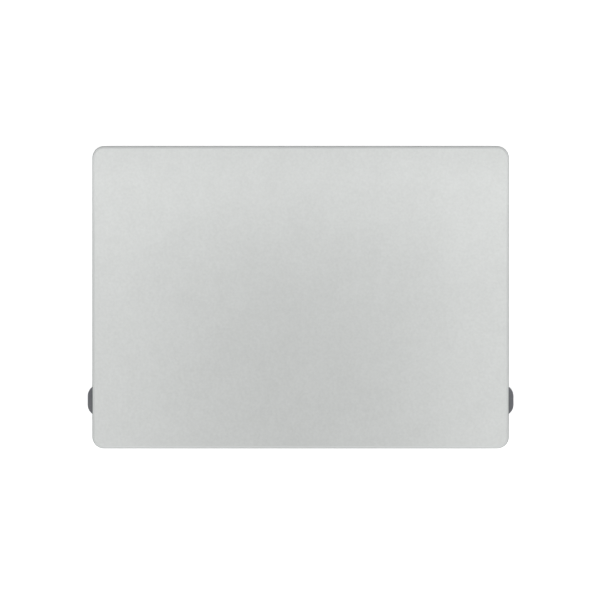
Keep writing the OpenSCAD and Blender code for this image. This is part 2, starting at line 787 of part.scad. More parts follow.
cover_glass();
glass_film();
sensor_board();
plate_film();
support_plate();
hinge_rail();
hinge_leaf_left();
hinge_leaf_right();
leaf_rivets();
rail_rivets();
mount_shims();
switch_base();
switch_terminals();
switch_dome();
switch_plunger();
switch_cover();
click_lever();
lever_rivets();
lever_bush();
adjusting_screw();
cable_socket_body();
cable_socket_contacts();
cable_socket_anchors();
cable_socket_latch();
keyboard_socket_body();
keyboard_socket_contacts();
keyboard_socket_anchors();
keyboard_socket_latch();
touch_controller();
main_processor();
memory_chip();
clock_crystal();
power_regulator();
power_inductor();
chip_capacitors();
chip_resistors();
surge_diodes();
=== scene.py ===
"""Looks of the trackpad: finishes for the packed model's pieces, light, and a camera over the glass.

Laid out as a Blender add-on and run as a script. Lengths are in metres: millimetres are written times MM.
"""

import json
import math

import bmesh
import bpy
from bpy.props import FloatProperty, FloatVectorProperty, PointerProperty
from mathutils import Matrix, Vector


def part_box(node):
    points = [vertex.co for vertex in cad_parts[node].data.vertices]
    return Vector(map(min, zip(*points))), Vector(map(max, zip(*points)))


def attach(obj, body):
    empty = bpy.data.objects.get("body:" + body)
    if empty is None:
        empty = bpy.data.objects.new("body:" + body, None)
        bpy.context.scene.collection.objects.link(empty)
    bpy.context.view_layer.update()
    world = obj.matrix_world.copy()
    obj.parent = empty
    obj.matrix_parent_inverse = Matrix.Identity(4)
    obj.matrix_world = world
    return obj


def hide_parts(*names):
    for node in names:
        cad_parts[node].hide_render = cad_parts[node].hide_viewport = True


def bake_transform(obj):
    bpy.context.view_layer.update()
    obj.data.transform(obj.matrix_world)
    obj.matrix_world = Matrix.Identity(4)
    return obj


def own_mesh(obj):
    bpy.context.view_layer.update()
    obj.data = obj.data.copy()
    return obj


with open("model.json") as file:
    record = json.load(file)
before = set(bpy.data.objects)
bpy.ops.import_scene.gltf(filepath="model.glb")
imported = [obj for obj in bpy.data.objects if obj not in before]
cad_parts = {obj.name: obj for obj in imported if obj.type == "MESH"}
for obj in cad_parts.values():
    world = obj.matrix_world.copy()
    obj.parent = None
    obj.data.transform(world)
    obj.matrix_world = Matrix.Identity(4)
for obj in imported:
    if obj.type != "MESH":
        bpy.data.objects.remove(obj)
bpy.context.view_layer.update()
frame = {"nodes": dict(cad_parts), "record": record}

bl_info = {
    "name": "Trackpad Looks",
    "version": (1, 0, 0),
    "blender": (4, 5, 0),
    "location": "3D View > Sidebar > Trackpad",
    "description": "Finishes of a laptop trackpad: glass, board, hinge, click switch and sockets",
    "category": "Object",
}

MM = 0.001
RECORD = frame["record"]
BODY_OF = {node: body for body, nodes in RECORD["behaviour"]["bodies"].items() for node in nodes}
COLOUR_OF = {slot["slot"]: tuple(slot["base_color"][:3]) for slot in RECORD["materials"]}

MERGE = 0.0001 * MM          # corners closer than this are one corner
BEND_MERGE = 0.015 * MM      # the same where finely divided bends are joined up
NEAR = 0.005 * MM            # a corner this close to a side lies in it
FLAT_ANGLE = math.radians(0.5)
SHARP_ANGLE = math.radians(20)
EDGE_ANGLE = math.radians(50)
UPRIGHT = 0.99               # least Z in the direction of an upright edge
UP = Vector((0, 0, 1))
OUTWARD = {"front": (0, -1), "rear": (0, 1), "left": (-1, 0), "right": (1, 0)}
LONE_CHIPS = ("touch_controller", "main_processor", "memory_chip", "power_regulator")
CHIPS = (*LONE_CHIPS, "surge_diodes")


# Settings

def length(name, description, millimetres, least=0.0):
    """A length that the sidebar shows in the scene's units."""
    return FloatProperty(name=name, description=description, default=millimetres * MM, min=least,
                         precision=6, subtype="DISTANCE", unit="LENGTH")


def colour(name, description, default):
    """A colour as it is written in the packed record, or one like it."""
    return FloatVectorProperty(name=name, description=description, default=default, size=3,
                               min=0.0, max=1.0, subtype="COLOR")


def share(name, description, default):
    """A number from 0 to 1."""
    return FloatProperty(name=name, description=description, default=default, min=0.0, max=1.0,
                         subtype="FACTOR")


def power(name, description, watts):
    """The power of a lamp."""
    return FloatProperty(name=name, description=description, default=watts, min=0.0, precision=5,
                         unit="POWER")


class TrackpadGlass(bpy.types.PropertyGroup):
    """Cover glass and the films under it."""

    corner_r: length("Corner radius", "Radius of the glass corners in plan", 2.9)
    bevel_w: length("Bevel width", "Width of the polished bevel round the face", 0.6)
    bevel_h: length("Bevel height", "Height of the polished bevel", 0.3)
    face_round: length("Face rounding", "Rounding where the bevel meets the face", 0.08)
    edge_round: length("Edge rounding", "Rounding where the bevel meets the ground edge", 0.22)
    face: colour("Face", "Satin face over white ink", COLOUR_OF["etched_glass"])
    # The bevel colour is set darker than the face as painted shade, for the dimmer look of the ink through
    # the angled glass.
    bevel: colour("Bevel", "Polished bevel", (0.575, 0.59, 0.585))
    # The edge colour is partly the glass's own dark ground edge and partly painted shade, which darkens the
    # rim into a dark line round the outline.
    edge: colour("Edge", "Ground edge of the glass", (0.23, 0.26, 0.248))
    ink: colour("Ink", "White ink on the underside", (0.62, 0.63, 0.62))
    film: colour("Film", "Adhesive films", COLOUR_OF["adhesive"])
    roughness: share("Satin", "Roughness of the etched face", 0.46)


class TrackpadBoard(bpy.types.PropertyGroup):
    """Sensor board with its tracks, pads and print."""

    corner_r: length("Corner radius", "Radius of the board corners", 2.1)
    track_w: length("Track width", "Width of a signal track", 0.16)
    power_w: length("Power track width", "Width of a power track", 0.9)
    relief: length("Copper relief", "Height of the copper that shows through the mask", 0.014)
    via_d: length("Via size", "Diameter of a via", 0.42)
    mask: colour("Mask", "Solder mask over bare laminate", COLOUR_OF["board_mask"])
    copper: colour("Copper under mask", "Solder mask over copper", (0.035, 0.15, 0.10))
    laminate: colour("Laminate", "Cut edge of the board", (0.30, 0.33, 0.17))
    foil: colour("Foil", "Copper layers in the cut edge", (0.45, 0.26, 0.14))
    gold: colour("Gold", "Gilt pads and contacts", COLOUR_OF["gold_contact"])
    print_ink: colour("Print", "White print on the board", (0.72, 0.73, 0.71))
    tin: colour("Tin", "Solder and tinned ends", (0.66, 0.66, 0.65))


class TrackpadMetal(bpy.types.PropertyGroup):
    """Support plate, hinge, lever and their fasteners."""

    soft_edge: length("Soft edge", "Width of the broken edges of sheet parts", 0.045)
    rib_round: length("Rib rounding", "Rounding of the crests of the plate's ribs", 0.14)
    rib_fillet: length("Rib fillet", "Rounding at the roots of the ribs", 0.08)
    coat: colour("Coat", "Dark coat of the support plate", (0.117, 0.121, 0.134))
    # Lighter edge colour: wear of the coat, and also a painted highlight along every edge of the plate.
    wear_and_highlight: colour("Worn coat", "Coat where edges have been handled", (0.30, 0.30, 0.305))
    plated: colour("Plated steel", "Rail, shims and switch cover", COLOUR_OF["plated_steel"])
    spring: colour("Spring steel", "Leaves, lever and dome", COLOUR_OF["spring_steel"])
    rivet: colour("Rivet steel", "Rivets", COLOUR_OF["rivet_steel"])
    screw: colour("Screw steel", "Blackened adjusting screw", COLOUR_OF["screw_steel"])
    brass: colour("Brass", "Threaded bush", COLOUR_OF["bush_brass"])


class TrackpadPlastic(bpy.types.PropertyGroup):
    """Switch, sockets and chips."""

    switch: colour("Switch", "Switch base", COLOUR_OF["switch_moulding"])
    plunger: colour("Plunger", "Switch plunger", COLOUR_OF["plunger_nylon"])
    socket: colour("Socket", "Socket bodies", COLOUR_OF["socket_nylon"])
    latch: colour("Latch", "Flip latches", COLOUR_OF["latch_nylon"])
    chip: colour("Chip", "Moulded chips", COLOUR_OF["chip_moulding"])
    can: colour("Crystal can", "Lid of the clock crystal", COLOUR_OF["crystal_can"])
    can_base: colour("Crystal base", "Base of the clock crystal", (0.16, 0.15, 0.14))
    ferrite: colour("Ferrite", "Power inductor", COLOUR_OF["ferrite"])
    ceramic: colour("Ceramic", "Capacitor bodies", COLOUR_OF["ceramic"])
    glaze: colour("Glaze", "Resistor tops", COLOUR_OF["resistor_glaze"])
    lead_w: length("Lead width", "Width of a chip's solder lead", 0.26)
    lead_pitch: length("Lead pitch", "Spacing of a chip's solder leads", 0.5)
    lead_l: length("Lead length", "Length of a lead outside the chip", 0.28)


class TrackpadStage(bpy.types.PropertyGroup):
    """Floor, lamps and camera."""

    camera_h: length("Camera height", "Height of the camera over the floor", 423.7)
    camera_x: length("Camera X", "Sideways place of the camera", -0.151, least=-1.0)
    camera_y: length("Camera Y", "Front to rear place of the camera", -0.705, least=-1.0)
    lens: FloatProperty(name="Lens", description="Focal length in millimetres", default=100.0, min=10.0,
                        unit="CAMERA")
    ambient: share("Ambient", "Even light from above", 0.776)
    floor: colour("Floor", "Pale floor", (0.70, 0.70, 0.70))
    floor_glow: share("Floor glow", "White that the floor adds for the camera, over the shadow", 0.6)
    rear_dim: share("Rear dimming", "Share of the even light that is left behind the object", 0.04)
    ring: colour("Ring", "Grey ring that metal reflects from below", (0.12, 0.12, 0.12))
    left_power: power("Left lamp", "Power of the strip over the left edge", 0.00815)
    right_power: power("Right lamp", "Power of the strip over the right edge", 0.00955)
    rear_power: power("Rear lamp", "Power of the strip over the rear edge", 0.0151)
    front_power: power("Front lamp", "Power of the low strip in front", 0.051)


# Node materials

NOISE_LOW = 0.3              # most values of a noise lie between these two
NOISE_HIGH = 0.7
EVEN = (1, 1, 1)             # a grain that runs no way
METAL = {"Metallic": 1.0}

# Finishes of one grain: noise scale, contrast, roughness range, relief in mm, stretch, shader values
GRAINS = {
    "polished_bevel_with_painted_shade": (2.5, 0.02, (0.1, 0.18), 0.0006, EVEN, {"IOR": 1.52}),
    "ground_edge_and_painted_shade": (1.2, 0.06, (0.42, 0.6), 0.003, (0.5, 0.5, 14), {"Specular IOR Level": 0.15}),
    "masked_copper": (3.0, 0.1, (0.24, 0.36), 0.001, EVEN, {"IOR": 1.5}),
    "gilt": (4.0, 0.07, (0.22, 0.36), 0.0012, EVEN, METAL),
    "board_print": (8.0, 0.1, (0.6, 0.75), 0.001, EVEN, {}),
    "tin": (5.0, 0.12, (0.24, 0.42), 0.004, EVEN, METAL),
    "plated_steel": (2.2, 0.07, (0.26, 0.4), 0.0016, (0.08, 3.0, 3.0), METAL),
    "spring_steel": (3.0, 0.09, (0.2, 0.34), 0.0016, (0.05, 2.4, 2.4), METAL),
    "rivet_steel": (2.6, 0.08, (0.18, 0.3), 0.012, EVEN, METAL),
    "black_oxide": (2.0, 0.3, (0.28, 0.44), 0.003, EVEN, {"Metallic": 0.9}),
    "crystal_can": (2.4, 0.06, (0.2, 0.32), 0.002, (0.1, 2, 2), METAL),
    "crystal_base": (4.0, 0.07, (0.42, 0.55), 0.003, EVEN, {}),
    "switch_moulding": (4.0, 0.07, (0.42, 0.55), 0.003, EVEN, {}),
    "plunger_nylon": (4.0, 0.07, (0.3, 0.42), 0.003, EVEN, {}),
    "socket_nylon": (4.0, 0.07, (0.36, 0.48), 0.003, EVEN, {}),
    "latch_nylon": (4.0, 0.07, (0.42, 0.55), 0.003, EVEN, {}),
    "chip_moulding": (6.0, 0.16, (0.5, 0.66), 0.003, EVEN, {"Specular IOR Level": 0.3}),
    "laser_mark": (8.0, 0.15, (0.6, 0.75), 0.002, EVEN, {}),
    "ferrite": (3.0, 0.3, (0.5, 0.7), 0.003, EVEN, {}),
    "ceramic": (5.0, 0.12, (0.3, 0.42), 0.003, EVEN, {}),
    "resistor_glaze": (3.0, 0.07, (0.12, 0.22), 0.003, EVEN, {}),
}


class Nodes:
    """Adds nodes to one tree. An input is a constant or another node's output."""

    def __init__(self, tree):
        self.tree = tree

    def feed(self, socket, value):
        if isinstance(value, bpy.types.NodeSocket):
            self.tree.links.new(value, socket)
        else:
            socket.default_value = value

    def add(self, kind, *values, output=0, settings=None, **inputs):
        """Output of a new node, whose inputs are given in order or by name."""
        node = self.tree.nodes.new(kind)
        for name, value in (settings or {}).items():
            setattr(node, name, value)
        for socket, value in zip(node.inputs, values):
            self.feed(socket, value)
        for name, value in inputs.items():
            self.feed(node.inputs[name.replace("_", " ")], value)
        return node.outputs[output]

    def maths(self, operation, a, b):
        return self.add("ShaderNodeMath", a, b, settings={"operation": operation})

    def weighted(self, a, weight_a, b, weight_b):
        """Sum of two values times their weights."""
        return self.maths("ADD", self.maths("MULTIPLY", a, weight_a), self.maths("MULTIPLY", b, weight_b))

    def between(self, value, low, high, start=0.0, end=1.0):
        """value from start to end becomes low to high."""
        return self.add("ShaderNodeMapRange", Value=value, From_Min=start, From_Max=end,
                        To_Min=low, To_Max=high)

    def ramp(self, value, *stops):
        """Colour by value, from (position, colour) stops."""
        node = self.add("ShaderNodeValToRGB", value).node
        elements = node.color_ramp.elements
        while len(elements) < len(stops):
            elements.new(0.5)
        for element, (position, tint) in zip(elements, stops):
            element.position = position
            element.color = (*tint, 1)
        return node.outputs["Color"]


class Finish(Nodes):
    """A node material round its Principled shader. Its patterns read Object coordinates in millimetres."""

    def __init__(self, name, values=None):
        self.material = bpy.data.materials.new(name)
        self.material.use_nodes = True
        super().__init__(self.material.node_tree)
        for socket, value in (values or {}).items():
            self.wire(socket, value)

    def wire(self, socket, value):
        self.feed(self.tree.nodes["Principled BSDF"].inputs[socket], value)

    def shade(self, value, *stops):
        self.wire("Base Color", self.ramp(value, *stops))

    def tone(self, value, tint, low, high, start=NOISE_LOW, end=NOISE_HIGH):
        """Base colour from low times tint where value is start to high times tint where it is end."""
        self.shade(value, (start, tinted(tint, low)), (end, tinted(tint, high)))

    def roughen(self, value, low, high, start=0.0, end=1.0):
        self.wire("Roughness", self.between(value, low, high, start, end))

    def raise_grain(self, height, depth):
        """Bump of that depth in metres."""
        self.wire("Normal", self.add("ShaderNodeBump", Height=height, Distance=depth))

    def place(self, stretch=EVEN, centre=(0, 0, 0), turn=0.0):
        """Object coordinates in millimetres from centre, turned about Z and stretched."""
        coordinates = self.add("ShaderNodeTexCoord", output="Object")
        return self.add("ShaderNodeMapping", settings={"vector_type": "TEXTURE"}, Vector=coordinates,
                        Location=centre, Rotation=(0, 0, turn), Scale=[MM / s for s in stretch])

    def noise(self, scale, detail=2.0, **place):
        return self.add("ShaderNodeTexNoise", Vector=self.place(**place), Scale=scale, Detail=detail)

    def bands(self, direction, scale, **place):
        settings = {"wave_type": "BANDS", "bands_direction": direction}
        return self.add("ShaderNodeTexWave", output="Fac", settings=settings,
                        Vector=self.place(**place), Scale=scale)

    def weave(self, scale):
        """Two crossed sets of bands."""
        return self.maths("MULTIPLY", self.bands("X", scale), self.bands("Y", scale))


def tinted(tint, factor):
    return tuple(min(1.0, channel * factor) for channel in tint)


def grained(name, tint):
    """Finish with a grain that shifts colour, gloss and height together, under broad faint clouding."""
    scale, contrast, rough, depth, stretch, values = GRAINS[name]
    finish = Finish(name, values)
    grain = finish.noise(scale, detail=3.0, stretch=stretch)
    clouds = finish.noise(scale=0.12)
    mixed = finish.weighted(grain, 0.7, clouds, 0.3)
    finish.tone(mixed, tint, 1 - contrast, 1 + contrast)
    finish.roughen(mixed, *rough, NOISE_LOW, NOISE_HIGH)
    finish.raise_grain(grain, depth * MM)
    return finish.material


def etched_glass(glass):
    """Satin etched face over white ink: fine sparkle and a faint mottle."""
    spread = 0.05
    finish = Finish("etched_glass", {"IOR": 1.5})
    sparkle = finish.noise(scale=1.6, detail=4.0)
    mottle = finish.noise(scale=0.16, detail=3.0)
    finish.tone(finish.weighted(sparkle, 0.7, mottle, 0.3), glass.face, low=0.948, high=1.052)
    finish.roughen(sparkle, glass.roughness - spread, glass.roughness + spread, NOISE_LOW, NOISE_HIGH)
    finish.raise_grain(finish.noise(scale=9.0), depth=0.0015 * MM)
    return finish.material


def white_ink(glass):
    """Printed ink on the underside of the glass, with the trace of its mesh."""
    finish = Finish("white_ink")
    finish.tone(finish.weave(scale=2.2), glass.ink, low=0.96, high=1.0, start=0.0, end=1.0)
    finish.roughen(finish.noise(scale=1.5), low=0.5, high=0.62)
    return finish.material


def adhesive(glass):
    """Adhesive film with small trapped bubbles."""
    finish = Finish("adhesive_film")
    bubbles = finish.add("ShaderNodeTexVoronoi", output="Distance", Vector=finish.place(), Scale=1.4)
    finish.tone(bubbles, glass.film, low=1.06, high=0.94, start=0.05, end=0.25)
    finish.roughen(bubbles, low=0.35, high=0.6, end=0.5)
    return finish.material


def solder_mask(board):
    """Mask over a hatched ground plane and the weave of the laminate."""
    diagonal = {"scale": 0.32, "turn": math.radians(45)}
    finish = Finish("solder_mask", {"IOR": 1.5})
    hatch = finish.maths("MAXIMUM", finish.bands("X", **diagonal), finish.bands("Y", **diagonal))
    lines = finish.between(hatch, 0.0, 1.0, start=0.86, end=0.94)
    weave = finish.weave(scale=0.55)
    finish.shade(finish.weighted(lines, 0.8, weave, 0.2), (0.0, board.mask), (1.0, board.copper))
    finish.roughen(finish.noise(scale=2.0), low=0.26, high=0.4)
    finish.raise_grain(finish.maths("ADD", lines, finish.maths("MULTIPLY", weave, 0.3)), board.relief)
    return finish.material


def laminate_edge(board):
    """Cut edge of the board: resin, glass layers and four lines of copper."""
    finish = Finish("laminate_edge")
    lines = finish.between(finish.bands("Z", scale=1.25), 0.0, 1.0, start=0.9, end=0.97)
    fibres = finish.noise(scale=2.0, detail=3.0, stretch=(1, 1, 6))
    finish.shade(finish.weighted(fibres, 0.5, lines, 0.5), (0.1, tinted(board.laminate, 0.75)),
                 (0.45, board.laminate), (0.85, board.foil))
    finish.roughen(fibres, low=0.55, high=0.8)
    finish.raise_grain(fibres, depth=0.01 * MM)
    return finish.material


def dark_coat(metal):
    """Baked dark coat: a fine pebble, broad clouding and faint scuffs that run three ways."""
    finish = Finish("dark_coat", {"IOR": 1.5})
    pebble = finish.noise(scale=2.4, detail=3.0)
    clouds = finish.noise(scale=0.07, detail=4.0)
    scuffs = [finish.noise(scale=1.0, detail=3.0, stretch=(0.06, 2.4, 1), turn=math.radians(angle))
              for angle in (22, 68, 141)]
    deepest = finish.maths("MAXIMUM", finish.maths("MAXIMUM", *scuffs[:2]), scuffs[2])
    rubbed = finish.between(deepest, 0.0, 1.0, start=0.68, end=0.8)
    mixed = finish.weighted(pebble, 0.45, clouds, 0.55)
    tone = finish.maths("ADD", mixed, finish.maths("MULTIPLY", rubbed, 0.26))
    finish.shade(tone, (NOISE_LOW, tinted(metal.coat, 0.78)), (NOISE_HIGH, tinted(metal.coat, 1.2)),
                 (1.0, tinted(metal.coat, 1.75)))
    finish.roughen(tone, low=0.54, high=0.34, start=NOISE_LOW, end=0.8)
    finish.raise_grain(pebble, depth=0.012 * MM)
    return finish.material


def wear_and_edge_highlight(metal):
    """Coat rubbed thin on an edge, in patches; its lighter colour on every edge is also a painted
    highlight.
    """
    finish = Finish("wear_and_edge_highlight")
    patches = finish.noise(scale=0.7, detail=4.0)
    finish.shade(patches, (0.42, tinted(metal.coat, 1.1)), (0.62, metal.wear_and_highlight))
    finish.wire("Metallic", finish.between(patches, 0.0, 0.8, start=0.45, end=0.62))
    finish.roughen(patches, low=0.48, high=0.34)
    return finish.material


def turned_brass(metal, centre):
    """Brass with the rings of the lathe round its own axis."""
    finish = Finish("turned_brass", METAL)
    settings = {"wave_type": "RINGS", "rings_direction": "Z"}
    rings = finish.add("ShaderNodeTexWave", output="Fac", settings=settings,
                       Vector=finish.place(centre=centre), Scale=4.5, Distortion=0.4)
    finish.tone(finish.noise(scale=0.9, detail=3.0), metal.brass, low=0.86, high=1.1)
    finish.roughen(rings, low=0.22, high=0.36)
    finish.raise_grain(rings, depth=0.003 * MM)
    return finish.material


# Mesh helpers

def of_kind(kind, elements):
    """Those of an operator's elements that are vertices, edges or faces."""
    return [element for element in elements if isinstance(element, kind)]


def add_block(bm, low, high):
    """Box between two corners. Returns its corners."""
    low = Vector(low)
    high = Vector(high)
    place = Matrix.Translation((low + high) / 2) @ Matrix.Diagonal((*(high - low), 1))
    return bmesh.ops.create_cube(bm, size=1.0, matrix=place)["verts"]


def edges_of(bm, verts):
    """Edges between these corners, in a steady order."""
    bm.edges.index_update()
    inside = set(verts)
    found = {edge for vert in verts for edge in vert.link_edges if edge.other_vert(vert) in inside}
    return sorted(found, key=lambda edge: edge.index)


def edges_below(edges, level):
    """Those of the edges that lie wholly below a height."""
    return [edge for edge in edges if all(vert.co.z < level for vert in edge.verts)]


def end_face(bm, pick):
    """The lowest face with pick min, or the highest with max."""
    return pick(bm.faces, key=lambda face: face.calc_center_median().z)


def round_edges(bm, edges, width, segments=2):
    """Rounds edges and returns the new faces."""
    made = bmesh.ops.bevel(bm, geom=edges, offset=width, offset_type="OFFSET", affect="EDGES",
                           segments=segments, profile=0.5, material=-1, clamp_overlap=True)
    return made["faces"]


def is_upright(edge):
    return abs((edge.verts[1].co - edge.verts[0].co).normalized().z) > UPRIGHT


def add_slab(bm, low, high, corner_r, steps=12):
    """Box with its upright edges rounded."""
    verts = add_block(bm, low, high)
    round_edges(bm, [edge for edge in edges_of(bm, verts) if is_upright(edge)], corner_r, steps)


def sharp_edges(bm):
    """Edges that turn by more than EDGE_ANGLE."""
    return [edge for edge in bm.edges if edge.is_manifold and edge.calc_face_angle(0.0) > EDGE_ANGLE]


def outer_edges(bm, shortest):
    """Sharp edges longer than shortest that lie in a side of the shape's own box."""
    sides = [(axis, pick(vert.co[axis] for vert in bm.verts)) for axis in range(3) for pick in (min, max)]
    return [edge for edge in sharp_edges(bm) if edge.calc_length() > shortest
            and any(all(abs(vert.co[axis] - level) < NEAR for vert in edge.verts) for axis, level in sides)]


def add_disc(bm, x, y, low, high, radius, segments=24):
    """Low round boss."""
    place = Matrix.Translation((x, y, (low + high) / 2))
    return bmesh.ops.create_cone(bm, cap_ends=True, segments=segments, radius1=radius, radius2=radius,
                                 depth=high - low, matrix=place)["verts"]


def softened_block(low, high, edge_w):
    """A bmesh of its own with one box whose edges are rounded."""
    part = bmesh.new()
    add_block(part, low, high)
    round_edges(part, sharp_edges(part), edge_w)
    return part


def paint(faces, index):
    """Gives faces the material at index."""
    for face in faces:
        face.material_index = index


def append_part(bm, part, index):
    """Moves a finished part into bm with the material at index."""
    paint(part.faces, index)
    mesh = bpy.data.meshes.new("part")
    part.to_mesh(mesh)
    part.free()
    bm.from_mesh(mesh)
    bpy.data.meshes.remove(mesh)


def add_turned(bm, x, y, profile, steps=40):
    """Solid turned about the upright axis at x, y from (radius, height) points, the ends on the axis."""
    before = set(bm.verts)
    verts = [bm.verts.new((x + radius, y, height)) for radius, height in profile]
    edges = [bm.edges.new(pair) for pair in zip(verts, verts[1:])]
    bmesh.ops.spin(bm, geom=verts + edges, cent=(x, y, 0), axis=UP, angle=math.tau, steps=steps,
                   use_merge=True)
    made = [vert for vert in bm.verts if vert not in before]
    bmesh.ops.remove_doubles(bm, verts=made, dist=MERGE)
    faces = {face for vert in bm.verts if vert not in before for face in vert.link_faces}
    bmesh.ops.recalc_face_normals(bm, faces=sorted(faces, key=lambda face: face.index))


def add_paths(bm, paths, height):
    """Edges along paths in plan at that height; a path that ends where it starts is closed."""
    edges = []
    for path in paths:
        closed = path[0] == path[-1]
        verts = [bm.verts.new((x, y, height)) for x, y in (path[:-1] if closed else path)]
        following = verts[1:] + verts[:1] if closed else verts[1:]
        edges += [bm.edges.new(pair) for pair in zip(verts, following)]
    return edges


def add_rings(bm, places, radius, height):
    """Edges of circles in plan."""
    edges = []
    for x, y in places:
        made = bmesh.ops.create_circle(bm, segments=28, radius=radius,
                                       matrix=Matrix.Translation((x, y, height)))
        edges += edges_of(bm, made["verts"])
    return edges


def thicken(bm, edges, width, rise):
    """Turns flat edges into strips of that width that rise by that much."""
    made = bmesh.ops.extrude_edge_only(bm, edges=edges)["geom"]
    bmesh.ops.translate(bm, vec=(0, 0, rise), verts=of_kind(bmesh.types.BMVert, made))
    bmesh.ops.solidify(bm, geom=of_kind(bmesh.types.BMFace, made), thickness=width)
    bmesh.ops.recalc_face_normals(bm, faces=bm.faces)


def frame_path(low, high, out):
    """Closed path round a box in plan, out from its sides."""
    left, right = low.x - out, high.x + out
    front, rear = low.y - out, high.y + out
    return [(left, front), (right, front), (right, rear), (left, rear), (left, front)]


def bent_path(start, end, level, mitre=0.3 * MM):
    """Path from start along Y, across at level with mitred corners, and along Y to end."""
    (x0, y0), (x1, y1) = start, end
    run = min(mitre, abs(x1 - x0) / 2)
    side = math.copysign(run, x1 - x0)
    fall = math.copysign(run, y1 - y0)
    points = [start, (x0, level - fall), (x0 + side, level), (x1 - side, level), (x1, level + fall), end]
    return [points[0]] + [new for old, new in zip(points, points[1:]) if math.dist(old, new) > MERGE]


def lead_places(low, high, pitch, out):
    """Places of a chip's leads in plan by side, out from its edges, from the left or the front on."""
    sides = {}
    for axis, (near, far) in enumerate((("front", "rear"), ("left", "right"))):
        count = max(1, round((high[axis] - low[axis]) / pitch) - 1)
        middle = (low[axis] + high[axis]) / 2
        along = [middle + (step - (count - 1) / 2) * pitch for step in range(count)]
        for side, across in ((near, low[1 - axis] - out), (far, high[1 - axis] + out)):
            sides[side] = [(place, across) if axis == 0 else (across, place) for place in along]
    return sides


def node_shape(node, merge=MERGE):
    """A copy of a CAD node with its loose triangles merged into flat faces."""
    bm = bmesh.new()
    bm.from_mesh(frame["nodes"][node].data)
    bmesh.ops.remove_doubles(bm, verts=bm.verts, dist=merge)
    bmesh.ops.dissolve_degenerate(bm, edges=bm.edges, dist=merge)
    bmesh.ops.dissolve_limit(bm, angle_limit=FLAT_ANGLE, verts=bm.verts, edges=bm.edges)
    return bm


def box_of(places):
    """(low, high) corners of the box round some places."""
    return tuple(Vector([pick(place[axis] for place in places) for axis in range(3)])
                 for pick in (min, max))


def solids_of(node):
    """(low, high) corners of each separate solid in a CAD node, from left to right."""
    bm = node_shape(node)
    boxes = []
    left = set(bm.verts)
    while left:
        reached = [left.pop()]
        for vert in reached:
            new = [edge.other_vert(vert) for edge in vert.link_edges if edge.other_vert(vert) in left]
            left.difference_update(new)
            reached += new
        boxes.append(box_of([vert.co.copy() for vert in reached]))
    bm.free()
    return sorted(boxes, key=lambda box: tuple(round(value, 6) for value in box[0]))


def make_object(name, bm, materials, smooth=SHARP_ANGLE):
    """Object at the origin from a finished bmesh."""
    for face in bm.faces:
        face.smooth = True
    mesh = bpy.data.meshes.new(name)
    bm.to_mesh(mesh)
    bm.free()
    mesh.set_sharp_from_angle(angle=smooth)
    for material in materials:
        mesh.materials.append(material)
    piece = bpy.data.objects.new(name, mesh)
    bpy.context.scene.collection.objects.link(piece)
    return piece


def stand_for(node, bm, materials, ride=True, **more):
    """Piece that replaces a CAD node, riding on the node's body unless ride is false, as for the leaves and
    the lever.
    """
    piece = make_object(node + "_look", bm, materials, **more)
    if ride:
        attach(piece, BODY_OF[node])
    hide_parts(node)
    return piece


def rebuild(node, materials, add, *values, **more):
    """Piece for a CAD node, with a new shape that add makes in place of each of its solids."""
    bm = bmesh.new()
    for low, high in solids_of(node):
        add(bm, low, high, *values)
    stand_for(node, bm, materials, **more)


def dress(node, material, edge_w, merge=MERGE, shortest=None, **more):
    """CAD node's own shape with its edges broken or, where shortest is given, its longer outer edges."""
    bm = node_shape(node, merge)
    round_edges(bm, sharp_edges(bm) if shortest is None else outer_edges(bm, shortest), edge_w)
    return stand_for(node, bm, [material], **more)


def lay_on_board(name, bm, material):
    """Piece of its own on the sensor board."""
    piece = make_object(name, bm, [material])
    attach(piece, BODY_OF["sensor_board"])


# Places on the board in plan: test pads behind the sockets, marks that the placing machine sights on,
# and bare pads that touch the case's ground springs

TEST_PADS = [((-7.5 + 3 * step) * MM, 18.4 * MM) for step in range(6)]
SIGHTING_MARKS = [(-13.6 * MM, 29.0 * MM), (13.6 * MM, 17.0 * MM)]
GROUND_PADS = [(-11.0 * MM, 24.0 * MM), (11.0 * MM, 24.0 * MM)]


def socket_pins(node):
    """Front end of each contact in plan, from left to right."""
    return [((low.x + high.x) / 2, low.y) for low, high in solids_of(node)]


# Pieces

